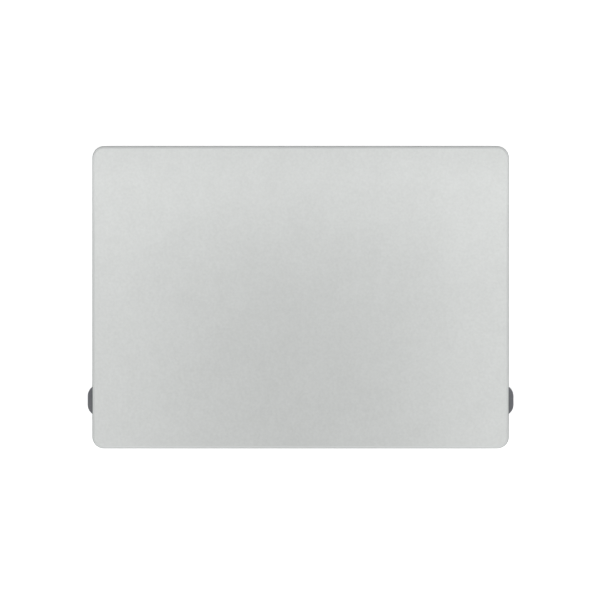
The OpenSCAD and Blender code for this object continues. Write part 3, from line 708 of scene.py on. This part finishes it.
class TRACKPAD_OT_cover_glass(bpy.types.Operator):
    """Bevelled glass with a satin face, a polished bevel coloured darker as painted shade, a ground edge
    whose dark colour is partly its own and partly painted shade, and white ink underneath
    """

    bl_idname = "trackpad.cover_glass"
    bl_label = "Cover Glass"

    SMOOTH = math.radians(40)
    LEVELS = (0.9999, 0.8, -0.9)   # Z of the normal that parts the face, the bevel (coloured darker as painted shade), the edge (its own dark colour and painted shade along the rim) and the ink

    def execute(self, context):
        glass = context.scene.trackpad_glass
        low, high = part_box("cover_glass")
        bm = bmesh.new()
        add_slab(bm, low, high, glass.corner_r, steps=16)
        face = end_face(bm, max)
        bmesh.ops.inset_region(bm, faces=[face], thickness=glass.bevel_w, use_even_offset=True)
        inner = set(face.verts)
        rim = {vert for vert in bm.verts if vert.co.z > high.z - MERGE and vert not in inner}
        bmesh.ops.translate(bm, vec=(0, 0, -glass.bevel_h), verts=list(rim))
        rim_edges = [edge for edge in bm.edges if rim.issuperset(edge.verts)]
        round_edges(bm, rim_edges, glass.edge_round, segments=5)
        round_edges(bm, list(face.edges), glass.face_round, segments=3)
        round_edges(bm, edges_below(bm.edges, low.z + MERGE), glass.face_round)
        bm.normal_update()
        for index, level in enumerate(self.LEVELS, start=1):
            paint([face for face in bm.faces if face.normal.z < level], index)
        # The bevel's material is coloured darker as painted shade; the edge's is partly its own dark colour
        # and partly painted shade.
        materials = [etched_glass(glass), grained("polished_bevel_with_painted_shade", glass.bevel),
                     grained("ground_edge_and_painted_shade", glass.edge), white_ink(glass)]
        piece = stand_for("cover_glass", bm, materials, smooth=self.SMOOTH)
        piece.modifiers.new("Even shading", "WEIGHTED_NORMAL").keep_sharp = True
        return {"FINISHED"}


class TRACKPAD_OT_films(bpy.types.Operator):
    """The two adhesive films, whose CAD shapes stay"""

    bl_idname = "trackpad.films"
    bl_label = "Adhesive Films"

    def execute(self, context):
        film = adhesive(context.scene.trackpad_glass)
        for node in ("glass_film", "plate_film"):
            materials = frame["nodes"][node].data.materials
            materials.clear()
            materials.append(film)
        return {"FINISHED"}


class TRACKPAD_OT_sensor_board(bpy.types.Operator):
    """Board with its mask and cut edge"""

    bl_idname = "trackpad.sensor_board"
    bl_label = "Sensor Board"

    WALL_Z = 0.5             # faces whose normal has less Z than this are the cut edge

    def execute(self, context):
        board = context.scene.trackpad_board
        bm = bmesh.new()
        add_slab(bm, *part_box("sensor_board"), board.corner_r)
        bm.normal_update()
        paint([face for face in bm.faces if abs(face.normal.z) < self.WALL_Z], 1)
        stand_for("sensor_board", bm, [solder_mask(board), laminate_edge(board)])
        return {"FINISHED"}


class TRACKPAD_OT_board_copper(bpy.types.Operator):
    """Tracks under the mask between the sockets, the chips and the switch, with their vias"""

    bl_idname = "trackpad.board_copper"
    bl_label = "Board Tracks"

    LANE = 0.22 * MM         # spacing of tracks side by side
    SWITCH_RUN = 12 * MM     # from the lever's tip to the end of the switch's tracks
    SWITCH_MIDDLE = -30 * MM
    FRONT_LANE = 1.5 * MM    # how far the tracks of the switch's front and rear terminals go out
    REAR_LANE = 1.0 * MM
    POWER_TAIL = 2 * MM
    NEAR_VIA = 0.8           # reach in mm of every other stub
    STUBS = (("touch_controller", "front", 2.3), ("main_processor", "front", 2.7),
             ("memory_chip", "front", 2.0), ("power_regulator", "front", 1.6),
             ("touch_controller", "left", 1.6))     # reach in mm of the longer stubs on a chip's side
    CABLE_STUB = 2.0
    STITCH_X = 16.4 * MM
    STITCH_PITCH = 1.5 * MM
    STITCHES = 11
    VIA_RIM = 0.22           # of its diameter
    VIA_DEPTH = 0.9          # of the relief

    def execute(self, context):
        board = context.scene.trackpad_board
        plastic = context.scene.trackpad_plastic
        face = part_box("sensor_board")[0].z
        leads = {chip: lead_places(*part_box(chip), plastic.lead_pitch, plastic.lead_l)
                 for chip in LONE_CHIPS}
        signal = self.socket_paths(leads) + self.chip_paths(leads)
        signal += self.switch_paths() + self.test_paths()
        stubs = self.stub_paths(leads)
        bm = bmesh.new()
        for paths, width in ((signal + stubs, board.track_w), (self.power_paths(), board.power_w)):
            thicken(bm, add_paths(bm, paths, face - board.relief), width, 2 * board.relief)
        for x, y in [path[1] for path in stubs] + self.stitching():
            self.add_via(bm, x, y, face, board)
        lay_on_board("board_tracks", bm, grained("masked_copper", board.copper))
        return {"FINISHED"}

    def socket_paths(self, leads):
        """From the sockets' pins to the chips in front, turning in lanes that keep them from crossing."""
        keyboard = socket_pins("keyboard_socket_contacts")
        cable = socket_pins("cable_socket_contacts")
        top = keyboard[0][1] - 2 * self.LANE
        runs = (  # pins, chip, its first lead, lane of the first pin, lanes from pin to pin
            (keyboard[:8], "touch_controller", 4, 0, 1),
            (keyboard[8:19], "main_processor", 1, 4, 0),
            (keyboard[20:28], "memory_chip", 0, 7, -1),
            (cable[8:12], "power_regulator", 0, 3, -1),
        )
        paths = []
        for pins, chip, first_lead, first_lane, rise in runs:
            for step, (pin, lead) in enumerate(zip(pins, leads[chip]["rear"][first_lead:])):
                paths.append(bent_path(pin, lead, top - (first_lane + rise * step) * self.LANE))
        return paths

    def chip_paths(self, leads):
        """Straight across from chip to chip, and to the clock crystal."""
        touch, processor, memory = (leads[chip] for chip in LONE_CHIPS[:3])
        crystal_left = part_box("clock_crystal")[0].x
        paths = [list(pair) for pair in zip(touch["right"][1:14], processor["left"])]
        paths += [list(pair) for pair in zip(processor["right"][3:10], memory["left"])]
        paths += [[(x, y), (crystal_left, y)] for x, y in memory["right"][2:5:2]]
        return paths

    def switch_paths(self):
        """From the switch's terminals outwards and back under the plate."""
        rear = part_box("click_lever")[0].y + self.SWITCH_RUN
        paths = []
        for low, high in solids_of("switch_terminals"):
            middle = (low + high) / 2
            out = self.REAR_LANE if middle.y > self.SWITCH_MIDDLE else self.FRONT_LANE
            lane = middle.x + math.copysign(out, middle.x)
            paths.append([(middle.x, middle.y), (lane, middle.y), (lane, rear)])
        return paths

    def test_paths(self):
        """From the sockets' rear to the test pads."""
        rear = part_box("keyboard_socket_body")[1].y
        return [[(x, rear), (x, y)] for x, y in TEST_PADS]

    def power_paths(self):
        """From the regulator through the inductor."""
        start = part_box("power_regulator")[1].x
        low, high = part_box("power_inductor")
        middle = (low.y + high.y) / 2
        return [[(start, middle), (low.x, middle)], [(high.x, middle), (high.x + self.POWER_TAIL, middle)]]

    def stub_paths(self, leads):
        """Short tracks that end at staggered vias."""
        groups = [(leads[chip][side], side, far) for chip, side, far in self.STUBS]
        groups.append((socket_pins("cable_socket_contacts")[:8], "front", self.CABLE_STUB))
        paths = []
        for tips, side, far in groups:
            across, along = OUTWARD[side]
            for step, (x, y) in enumerate(tips):
                reach = (far if step % 2 else self.NEAR_VIA) * MM
                paths.append([(x, y), (x + across * reach, y + along * reach)])
        return paths

    def stitching(self):
        """Vias that tie the ground planes together along both sides of the channel."""
        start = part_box("keyboard_socket_body")[1].y + 1 * MM
        return [(side * self.STITCH_X, start + step * self.STITCH_PITCH)
                for side in (-1, 1) for step in range(self.STITCHES)]

    def add_via(self, bm, x, y, face, board):
        verts = add_disc(bm, x, y, face - board.relief, face + board.relief, board.via_d / 2, segments=10)
        caps = {cap for vert in verts for cap in vert.link_faces}
        lowest = min(caps, key=lambda cap: cap.calc_center_median().z)
        bmesh.ops.inset_region(bm, faces=[lowest], thickness=board.via_d * self.VIA_RIM,
                               depth=-board.relief * self.VIA_DEPTH)


class TRACKPAD_OT_board_pads(bpy.types.Operator):
    """Gilt test pads, ground pads and sighting marks on the board"""

    bl_idname = "trackpad.board_pads"
    bl_label = "Board Pads"

    HALF_W = 1.5 * MM        # of a ground pad
    HALF_D = 0.8 * MM

    def execute(self, context):
        board = context.scene.trackpad_board
        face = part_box("sensor_board")[0].z
        low, high = face - 1.5 * board.relief, face + board.relief
        bm = bmesh.new()
        for x, y in TEST_PADS + SIGHTING_MARKS:
            add_disc(bm, x, y, low, high, radius=0.5 * MM, segments=28)
        for x, y in GROUND_PADS:
            add_slab(bm, (x - self.HALF_W, y - self.HALF_D, low),
                     (x + self.HALF_W, y + self.HALF_D, high), corner_r=0.3 * MM, steps=6)
        lay_on_board("board_pads", bm, grained("gilt", board.gold))
        return {"FINISHED"}


class TRACKPAD_OT_board_print(bpy.types.Operator):
    """White printed outlines and first-pin dots, without lettering"""

    bl_idname = "trackpad.board_print"
    bl_label = "Board Print"

    DOT_LEFT = 1.0 * MM      # from a chip's rear left corner to its dot
    DOT_REAR = 0.1 * MM

    def execute(self, context):
        board = context.scene.trackpad_board
        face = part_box("sensor_board")[0].z
        thin = board.relief / 2
        bm = bmesh.new()
        outlined = LONE_CHIPS + ("clock_crystal", "power_inductor")
        paths = [frame_path(*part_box(node), out=0.55 * MM) for node in outlined]
        for node in ("keyboard_socket_body", "cable_socket_body"):
            low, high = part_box(node)
            front_left, front_right, rear_right, rear_left, _ = frame_path(low, high, out=0.45 * MM)
            paths.append([(low.x, front_left[1]), front_left, rear_left])
            paths.append([rear_right, front_right, (high.x, front_right[1])])
        edges = add_paths(bm, paths, face - thin)
        edges += add_rings(bm, TEST_PADS + SIGHTING_MARKS, radius=0.85 * MM, height=face - thin)
        thicken(bm, edges, width=0.12 * MM, rise=2 * thin)
        for node in LONE_CHIPS:
            low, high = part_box(node)
            add_disc(bm, low.x - self.DOT_LEFT, high.y + self.DOT_REAR, face - thin, face + thin,
                     radius=0.17 * MM, segments=16)
        lay_on_board("board_print", bm, grained("board_print", board.print_ink))
        return {"FINISHED"}


class TRACKPAD_OT_support_plate(bpy.types.Operator):
    """Coated plate with rounded ribs and rubbed edges whose lighter colour is also a painted highlight"""

    bl_idname = "trackpad.support_plate"
    bl_label = "Support Plate"

    def execute(self, context):
        metal = context.scene.trackpad_metal
        bm = node_shape("support_plate")
        low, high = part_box("support_plate")
        rubbed = round_edges(bm, edges_below(sharp_edges(bm), low.z + NEAR), metal.rib_round, segments=4)
        lower = edges_below(sharp_edges(bm), (low.z + high.z) / 2)
        round_edges(bm, [edge for edge in lower if not edge.is_convex], metal.rib_fillet, segments=3)
        rubbed += round_edges(bm, sharp_edges(bm), metal.soft_edge)
        # All rounded edges and rib crests take the lighter edge colour: wear, and also a painted highlight.
        paint(rubbed, 1)
        stand_for("support_plate", bm, [dark_coat(metal), wear_and_edge_highlight(metal)])
        return {"FINISHED"}


class TRACKPAD_OT_hinge(bpy.types.Operator):
    """Rail and shims, and the two spring leaves that bend between the rail and the plate"""

    bl_idname = "trackpad.hinge"
    bl_label = "Leaf Hinge"

    def execute(self, context):
        metal = context.scene.trackpad_metal
        plated = grained("plated_steel", metal.plated)
        spring = grained("spring_steel", metal.spring)
        dress("hinge_rail", plated, metal.soft_edge)
        dress("mount_shims", plated, metal.soft_edge / 2)
        for node in ("hinge_leaf_left", "hinge_leaf_right"):
            leaf = dress(node, spring, metal.soft_edge / 2, merge=BEND_MERGE, ride=False)
            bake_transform(leaf)
        return {"FINISHED"}


class TRACKPAD_OT_rivets(bpy.types.Operator):
    """Set rivets with low domed heads"""

    bl_idname = "trackpad.rivets"
    bl_label = "Rivets"

    SMOOTH = math.radians(30)
    HEAD_H = 0.18 * MM
    SHANK_R = 0.6 * MM
    # Shares of the head's radius and, from its tip, of its height
    HEAD = ((0, 0.08), (0.35, 0), (0.7, 0.16), (0.92, 0.5), (1, 0.82), (0.97, 1))
    # Shares of the shank's radius and, from its set end, of the head's height
    SET_END = ((1, 0.3), (0.9, 0), (0.3, 0.1), (0, 0.2))

    def execute(self, context):
        steel = grained("rivet_steel", context.scene.trackpad_metal.rivet)
        for node, head_up in (("leaf_rivets", False), ("lever_rivets", False), ("rail_rivets", True)):
            rebuild(node, [steel], self.add_rivet, head_up, smooth=self.SMOOTH)
        return {"FINISHED"}

    def add_rivet(self, bm, low, high, head_up):
        middle = (low + high) / 2
        head_r = (high.x - low.x) / 2
        tip, end, drop = low.z, high.z, self.HEAD_H
        if head_up:
            tip, end, drop = high.z, low.z, -self.HEAD_H
        profile = [(across * head_r, tip + down * drop) for across, down in self.HEAD]
        profile.append((self.SHANK_R, tip + drop))
        profile += [(across * self.SHANK_R, end - up * drop) for across, up in self.SET_END]
        add_turned(bm, middle.x, middle.y, profile)


class TRACKPAD_OT_click_switch(bpy.types.Operator):
    """Switch base, terminals, snap dome, plunger and steel cover"""

    bl_idname = "trackpad.click_switch"
    bl_label = "Click Switch"

    def execute(self, context):
        metal = context.scene.trackpad_metal
        plastic = context.scene.trackpad_plastic
        gold = context.scene.trackpad_board.gold
        dress("switch_base", grained("switch_moulding", plastic.switch), edge_w=0.05 * MM)
        dress("switch_terminals", grained("gilt", gold), edge_w=0.01 * MM)
        dress("switch_plunger", grained("plunger_nylon", plastic.plunger), edge_w=0.03 * MM)
        dress("switch_cover", grained("plated_steel", metal.plated), edge_w=0.025 * MM)
        spring = grained("spring_steel", metal.spring)
        dome = stand_for("switch_dome", node_shape("switch_dome"), [spring])
        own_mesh(dome)
        return {"FINISHED"}


class TRACKPAD_OT_click_lever(bpy.types.Operator):
    """Spring lever that bends at its neck, with its brass bush and adjusting screw"""

    bl_idname = "trackpad.click_lever"
    bl_label = "Click Lever"

    BEND = 1.2 * MM          # the lever bends over this much on each side of its joint

    def execute(self, context):
        metal = context.scene.trackpad_metal
        spring = grained("spring_steel", metal.spring)
        lever = dress("click_lever", spring, metal.soft_edge, merge=BEND_MERGE, ride=False)
        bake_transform(lever)
        low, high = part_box("lever_bush")
        dress("lever_bush", turned_brass(metal, (low + high) / 2), metal.soft_edge)
        dress("adjusting_screw", grained("black_oxide", metal.screw), metal.soft_edge)
        return {"FINISHED"}


class TRACKPAD_OT_cable_sockets(bpy.types.Operator):
    """Both flat cable sockets: nylon body, gilt contacts, tinned anchors and a flip latch"""

    bl_idname = "trackpad.cable_sockets"
    bl_label = "Cable Sockets"

    def execute(self, context):
        plastic = context.scene.trackpad_plastic
        board = context.scene.trackpad_board
        body = grained("socket_nylon", plastic.socket)
        latch = grained("latch_nylon", plastic.latch)
        gold = grained("gilt", board.gold)
        solder = grained("tin", board.tin)
        for socket in ("cable_socket", "keyboard_socket"):
            dress(socket + "_body", body, edge_w=0.03 * MM, shortest=0.3 * MM)
            dress(socket + "_contacts", gold, edge_w=0.015 * MM)
            dress(socket + "_anchors", solder, edge_w=0.02 * MM)
            dress(socket + "_latch", latch, edge_w=0.04 * MM, merge=0.005 * MM)
        return {"FINISHED"}


class TRACKPAD_OT_chips(bpy.types.Operator):
    """Moulded chips with a first-pin mark and solder leads round them"""

    bl_idname = "trackpad.chips"
    bl_label = "Chips"

    MARK_H = 0.004 * MM
    MARK_R = 0.35 * MM       # at most
    MARK_IN = 0.16           # of the chip's width
    MARK_TONE = 3.0          # times as bright as the chip
    FILLET_H = 0.2 * MM
    TOE_DROP = 0.8           # of the fillet's height
    LAP = 0.05 * MM

    def execute(self, context):
        plastic = context.scene.trackpad_plastic
        board = context.scene.trackpad_board
        epoxy = grained("chip_moulding", plastic.chip)
        mark = grained("laser_mark", tinted(plastic.chip, self.MARK_TONE))
        solder = grained("tin", board.tin)
        for node in CHIPS:
            rebuild(node, [epoxy, mark, solder], self.add_chip, plastic)
        return {"FINISHED"}

    def add_chip(self, bm, low, high, plastic):
        append_part(bm, softened_block(low, high, edge_w=0.05 * MM), 0)
        inset = self.MARK_IN * (high.x - low.x)
        dot = bmesh.new()
        add_disc(dot, low.x + inset, high.y - inset, low.z - self.MARK_H, low.z + self.MARK_H,
                 min(self.MARK_R, inset / 2))
        append_part(bm, dot, 1)
        for side, places in lead_places(low, high, plastic.lead_pitch, 0.0).items():
            outward = Vector((*OUTWARD[side], 0))
            for x, y in places:
                append_part(bm, self.lead(Vector((x, y, high.z)), outward, plastic), 2)

    def lead(self, root, outward, plastic):
        """Solder lead from under the chip's edge at root, which falls away outwards."""
        half = Vector(abs(value) for value in outward.cross(UP)) * (plastic.lead_w / 2)
        inner = root - outward * self.LAP
        tip = root + outward * plastic.lead_l
        low = Vector(map(min, inner - half, tip - half)) - UP * self.FILLET_H
        high = Vector(map(max, inner + half, tip + half))
        lead = bmesh.new()
        verts = add_block(lead, low, high)
        toe = [vert for vert in verts
               if (vert.co - tip).dot(outward) > -MERGE and vert.co.z < root.z - MERGE]
        bmesh.ops.translate(lead, vec=UP * self.FILLET_H * self.TOE_DROP, verts=toe)
        return lead


class TRACKPAD_OT_crystal_and_coil(bpy.types.Operator):
    """Clock crystal in its lidded can, and the power inductor"""

    bl_idname = "trackpad.crystal_and_coil"
    bl_label = "Crystal and Inductor"

    SEAM = 0.6               # of the crystal's height, from the lid's top
    RIM = Vector((0.14 * MM, 0.14 * MM, 0))

    def execute(self, context):
        plastic = context.scene.trackpad_plastic
        self.make_crystal(plastic)
        self.make_coil(plastic)
        return {"FINISHED"}

    def make_crystal(self, plastic):
        low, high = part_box("clock_crystal")
        seam = low.z + self.SEAM * (high.z - low.z)
        bm = bmesh.new()
        add_slab(bm, (low.x, low.y, seam), high, corner_r=0.4 * MM)
        paint(bm.faces, 1)
        add_slab(bm, low + self.RIM, Vector((high.x, high.y, seam)) - self.RIM, corner_r=0.32 * MM)
        round_edges(bm, edges_below(sharp_edges(bm), low.z + MERGE), width=0.07 * MM, segments=3)
        materials = [grained("crystal_can", plastic.can), grained("crystal_base", plastic.can_base)]
        stand_for("clock_crystal", bm, materials)

    def make_coil(self, plastic):
        bm = bmesh.new()
        add_slab(bm, *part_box("power_inductor"), corner_r=0.5 * MM)
        face = end_face(bm, min)
        bmesh.ops.inset_region(bm, faces=[face], thickness=0.3 * MM, use_even_offset=True)
        bmesh.ops.inset_region(bm, faces=[face], thickness=0.05 * MM, depth=-0.06 * MM,
                               use_even_offset=True)
        stand_for("power_inductor", bm, [grained("ferrite", plastic.ferrite)])


class TRACKPAD_OT_small_parts(bpy.types.Operator):
    """Small capacitors and resistors with tinned ends"""

    bl_idname = "trackpad.small_parts"
    bl_label = "Small Parts"

    END = 0.24 * MM
    END_ROUND = 0.035 * MM
    SHRINK = 0.02 * MM

    def execute(self, context):
        plastic = context.scene.trackpad_plastic
        solder = grained("tin", context.scene.trackpad_board.tin)
        ceramic = grained("ceramic", plastic.ceramic)
        glaze = grained("resistor_glaze", plastic.glaze)
        for node, body in (("chip_capacitors", ceramic), ("chip_resistors", glaze)):
            rebuild(node, [solder, body], self.add_part)
        return {"FINISHED"}

    def add_part(self, bm, low, high):
        axis = 0 if high.x - low.x > high.y - low.y else 1
        near_high = high.copy()
        near_high[axis] = low[axis] + self.END
        far_low = low.copy()
        far_low[axis] = high[axis] - self.END
        append_part(bm, softened_block(low, near_high, self.END_ROUND), 0)
        append_part(bm, softened_block(far_low, high, self.END_ROUND), 0)
        side = Vector((self.SHRINK, self.SHRINK, 0))
        side[axis] = self.END / 2
        append_part(bm, softened_block(low + side + UP * self.SHRINK, high - side, self.SHRINK), 1)


# Stage

class TRACKPAD_OT_stage(bpy.types.Operator):
    """Pale floor, four strip lamps, an even light that is dimmer behind, and the camera over the glass"""

    bl_idname = "trackpad.stage"
    bl_label = "Stage"

    FLOOR_HALF = 2.0
    FLOOR_GAP = 0.05 * MM

    def execute(self, context):
        stage = context.scene.trackpad_stage
        self.make_floor(stage)
        self.make_world(context.scene, stage)
        self.make_lamps(stage)
        self.make_ring(stage)
        self.make_camera(context.scene, stage)
        context.scene.view_settings.view_transform = "Standard"
        return {"FINISHED"}

    def make_floor(self, stage):
        """Floor a hair below the object, so that the two share no plane."""
        bm = bmesh.new()
        bmesh.ops.create_grid(bm, x_segments=1, y_segments=1, size=self.FLOOR_HALF,
                              matrix=Matrix.Translation((0, 0, -self.FLOOR_GAP)))
        floor = make_object("floor", bm, [self.floor_material(stage)])

    def floor_material(self, stage):
        """White to the camera under the object's shadow; clear from below, so that the underside shows."""
        material = bpy.data.materials.new("floor")
        material.use_nodes = True
        nodes = Nodes(material.node_tree)
        diffuse = nodes.add("ShaderNodeBsdfDiffuse", Color=(*stage.floor, 1))
        glow = nodes.add("ShaderNodeEmission", Strength=stage.floor_glow)
        lit = nodes.add("ShaderNodeAddShader", diffuse, glow)
        clear = nodes.add("ShaderNodeBsdfTransparent")
        camera_ray = nodes.add("ShaderNodeLightPath", output="Is Camera Ray")
        from_below = nodes.add("ShaderNodeNewGeometry", output="Backfacing")
        front = nodes.maths("GREATER_THAN", camera_ray, from_below)
        choice = nodes.add("ShaderNodeMixShader", front, clear, lit)
        nodes.feed(nodes.tree.nodes["Material Output"].inputs["Surface"], choice)
        nodes.tree.nodes.remove(nodes.tree.nodes["Principled BSDF"])
        return material

    def make_world(self, scene, stage):
        """White to the eye and in reflections; as light, ambient from above and white from below."""
        world = bpy.data.worlds.new("studio")
        scene.world = world
        world.use_nodes = True
        nodes = Nodes(world.node_tree)
        direction = nodes.add("ShaderNodeTexCoord", output="Generated")
        split = nodes.add("ShaderNodeSeparateXYZ", direction).node.outputs
        height = nodes.between(split["Z"], 0.0, 1.0, start=-1.0)
        tones = {0.0: 1.0, 0.48: 0.5, 0.52: stage.ambient, 1.0: stage.ambient}   # by height
        level = nodes.ramp(height, *((place, (tone, tone, tone)) for place, tone in tones.items()))
        rear = nodes.between(split["Y"], 1.0, stage.rear_dim, start=0.45, end=0.9)
        seen = nodes.maths("MULTIPLY", level, rear)
        path = nodes.add("ShaderNodeLightPath").node.outputs
        for ray in ("Is Camera Ray", "Is Glossy Ray", "Is Transmission Ray"):
            seen = nodes.maths("MAXIMUM", seen, path[ray])
        background = nodes.tree.nodes["Background"]
        nodes.feed(background.inputs["Color"], (1, 1, 1, 1))
        nodes.feed(background.inputs["Strength"], seen)

    def make_lamps(self, stage):
        """Strips close over the left, right and rear edges, and a low one in front."""
        side = (22 * MM, 114 * MM)
        self.add_lamp("left_lamp", (-55 * MM, -30 * MM, 50 * MM), side, stage.left_power)
        self.add_lamp("right_lamp", (55 * MM, -30 * MM, 50 * MM), side, stage.right_power)
        self.add_lamp("rear_lamp", (0, 34 * MM, 40 * MM), (243 * MM, 16 * MM), stage.rear_power)
        wide = (200 * MM, 40 * MM)
        front = self.add_lamp("front_lamp", (0, -155 * MM, 21 * MM), wide, stage.front_power)
        front.rotation_euler = (-front.location).to_track_quat("-Z", "Y").to_euler()

    def add_lamp(self, name, place, size, watts):
        """Soft rectangular lamp that doesn't show and faces straight down."""
        data = bpy.data.lights.new(name, "AREA")
        data.shape = "RECTANGLE"
        data.size, data.size_y = size
        data.energy = watts
        lamp = bpy.data.objects.new(name, data)
        lamp.location = place
        lamp.visible_camera = False
        bpy.context.scene.collection.objects.link(lamp)
        return lamp

    def make_ring(self, stage):
        """Grey ring round and below the object, seen only in reflections, which gives metal its edges."""
        radius, depth, top = 300 * MM, 230 * MM, -20 * MM
        bm = bmesh.new()
        bmesh.ops.create_cone(bm, cap_ends=False, segments=48, radius1=radius, radius2=radius, depth=depth,
                              matrix=Matrix.Translation((0, 0, top - depth / 2)))
        grey = Finish("grey_ring", {"Base Color": (*stage.ring, 1), "Roughness": 1.0})
        ring = make_object("grey_ring", bm, [grey.material])
        for ray in ("camera", "diffuse", "transmission", "shadow"):
            setattr(ring, "visible_" + ray, False)

    def make_camera(self, scene, stage):
        data = bpy.data.cameras.new("camera")
        data.lens = stage.lens
        data.clip_start = 10 * MM
        camera = bpy.data.objects.new("camera", data)
        camera.location = (stage.camera_x, stage.camera_y, stage.camera_h)
        scene.collection.objects.link(camera)
        scene.camera = camera


# Sidebar and registration

PIECE_OPERATORS = (
    TRACKPAD_OT_cover_glass, TRACKPAD_OT_films, TRACKPAD_OT_sensor_board, TRACKPAD_OT_board_copper,
    TRACKPAD_OT_board_pads, TRACKPAD_OT_board_print, TRACKPAD_OT_support_plate, TRACKPAD_OT_hinge,
    TRACKPAD_OT_rivets, TRACKPAD_OT_click_switch, TRACKPAD_OT_click_lever, TRACKPAD_OT_cable_sockets,
    TRACKPAD_OT_chips, TRACKPAD_OT_crystal_and_coil, TRACKPAD_OT_small_parts, TRACKPAD_OT_stage,
)
SETTINGS = {
    "trackpad_glass": TrackpadGlass,
    "trackpad_board": TrackpadBoard,
    "trackpad_metal": TrackpadMetal,
    "trackpad_plastic": TrackpadPlastic,
    "trackpad_stage": TrackpadStage,
}


class TRACKPAD_PT_looks(bpy.types.Panel):
    """Settings and steps of the trackpad's looks"""

    bl_idname = "TRACKPAD_PT_looks"
    bl_label = "Trackpad Looks"
    bl_space_type = "VIEW_3D"
    bl_region_type = "UI"
    bl_category = "Trackpad"

    def draw(self, context):
        for name, group in SETTINGS.items():
            box = self.layout.box()
            box.label(text=group.__doc__)
            for setting in group.__annotations__:
                box.prop(getattr(context.scene, name), setting)
        for operator in PIECE_OPERATORS:
            self.layout.operator(operator.bl_idname)


CLASSES = (*SETTINGS.values(), *PIECE_OPERATORS, TRACKPAD_PT_looks)


def register():
    for item in CLASSES:
        bpy.utils.register_class(item)
    for name, group in SETTINGS.items():
        setattr(bpy.types.Scene, name, PointerProperty(type=group))


def unregister():
    for name in SETTINGS:
        delattr(bpy.types.Scene, name)
    for item in reversed(CLASSES):
        bpy.utils.unregister_class(item)


def main():
    register()
    for operator in PIECE_OPERATORS:
        group, name = operator.bl_idname.split(".")
        getattr(getattr(bpy.ops, group), name)()


if __name__ == "__main__":
    main()
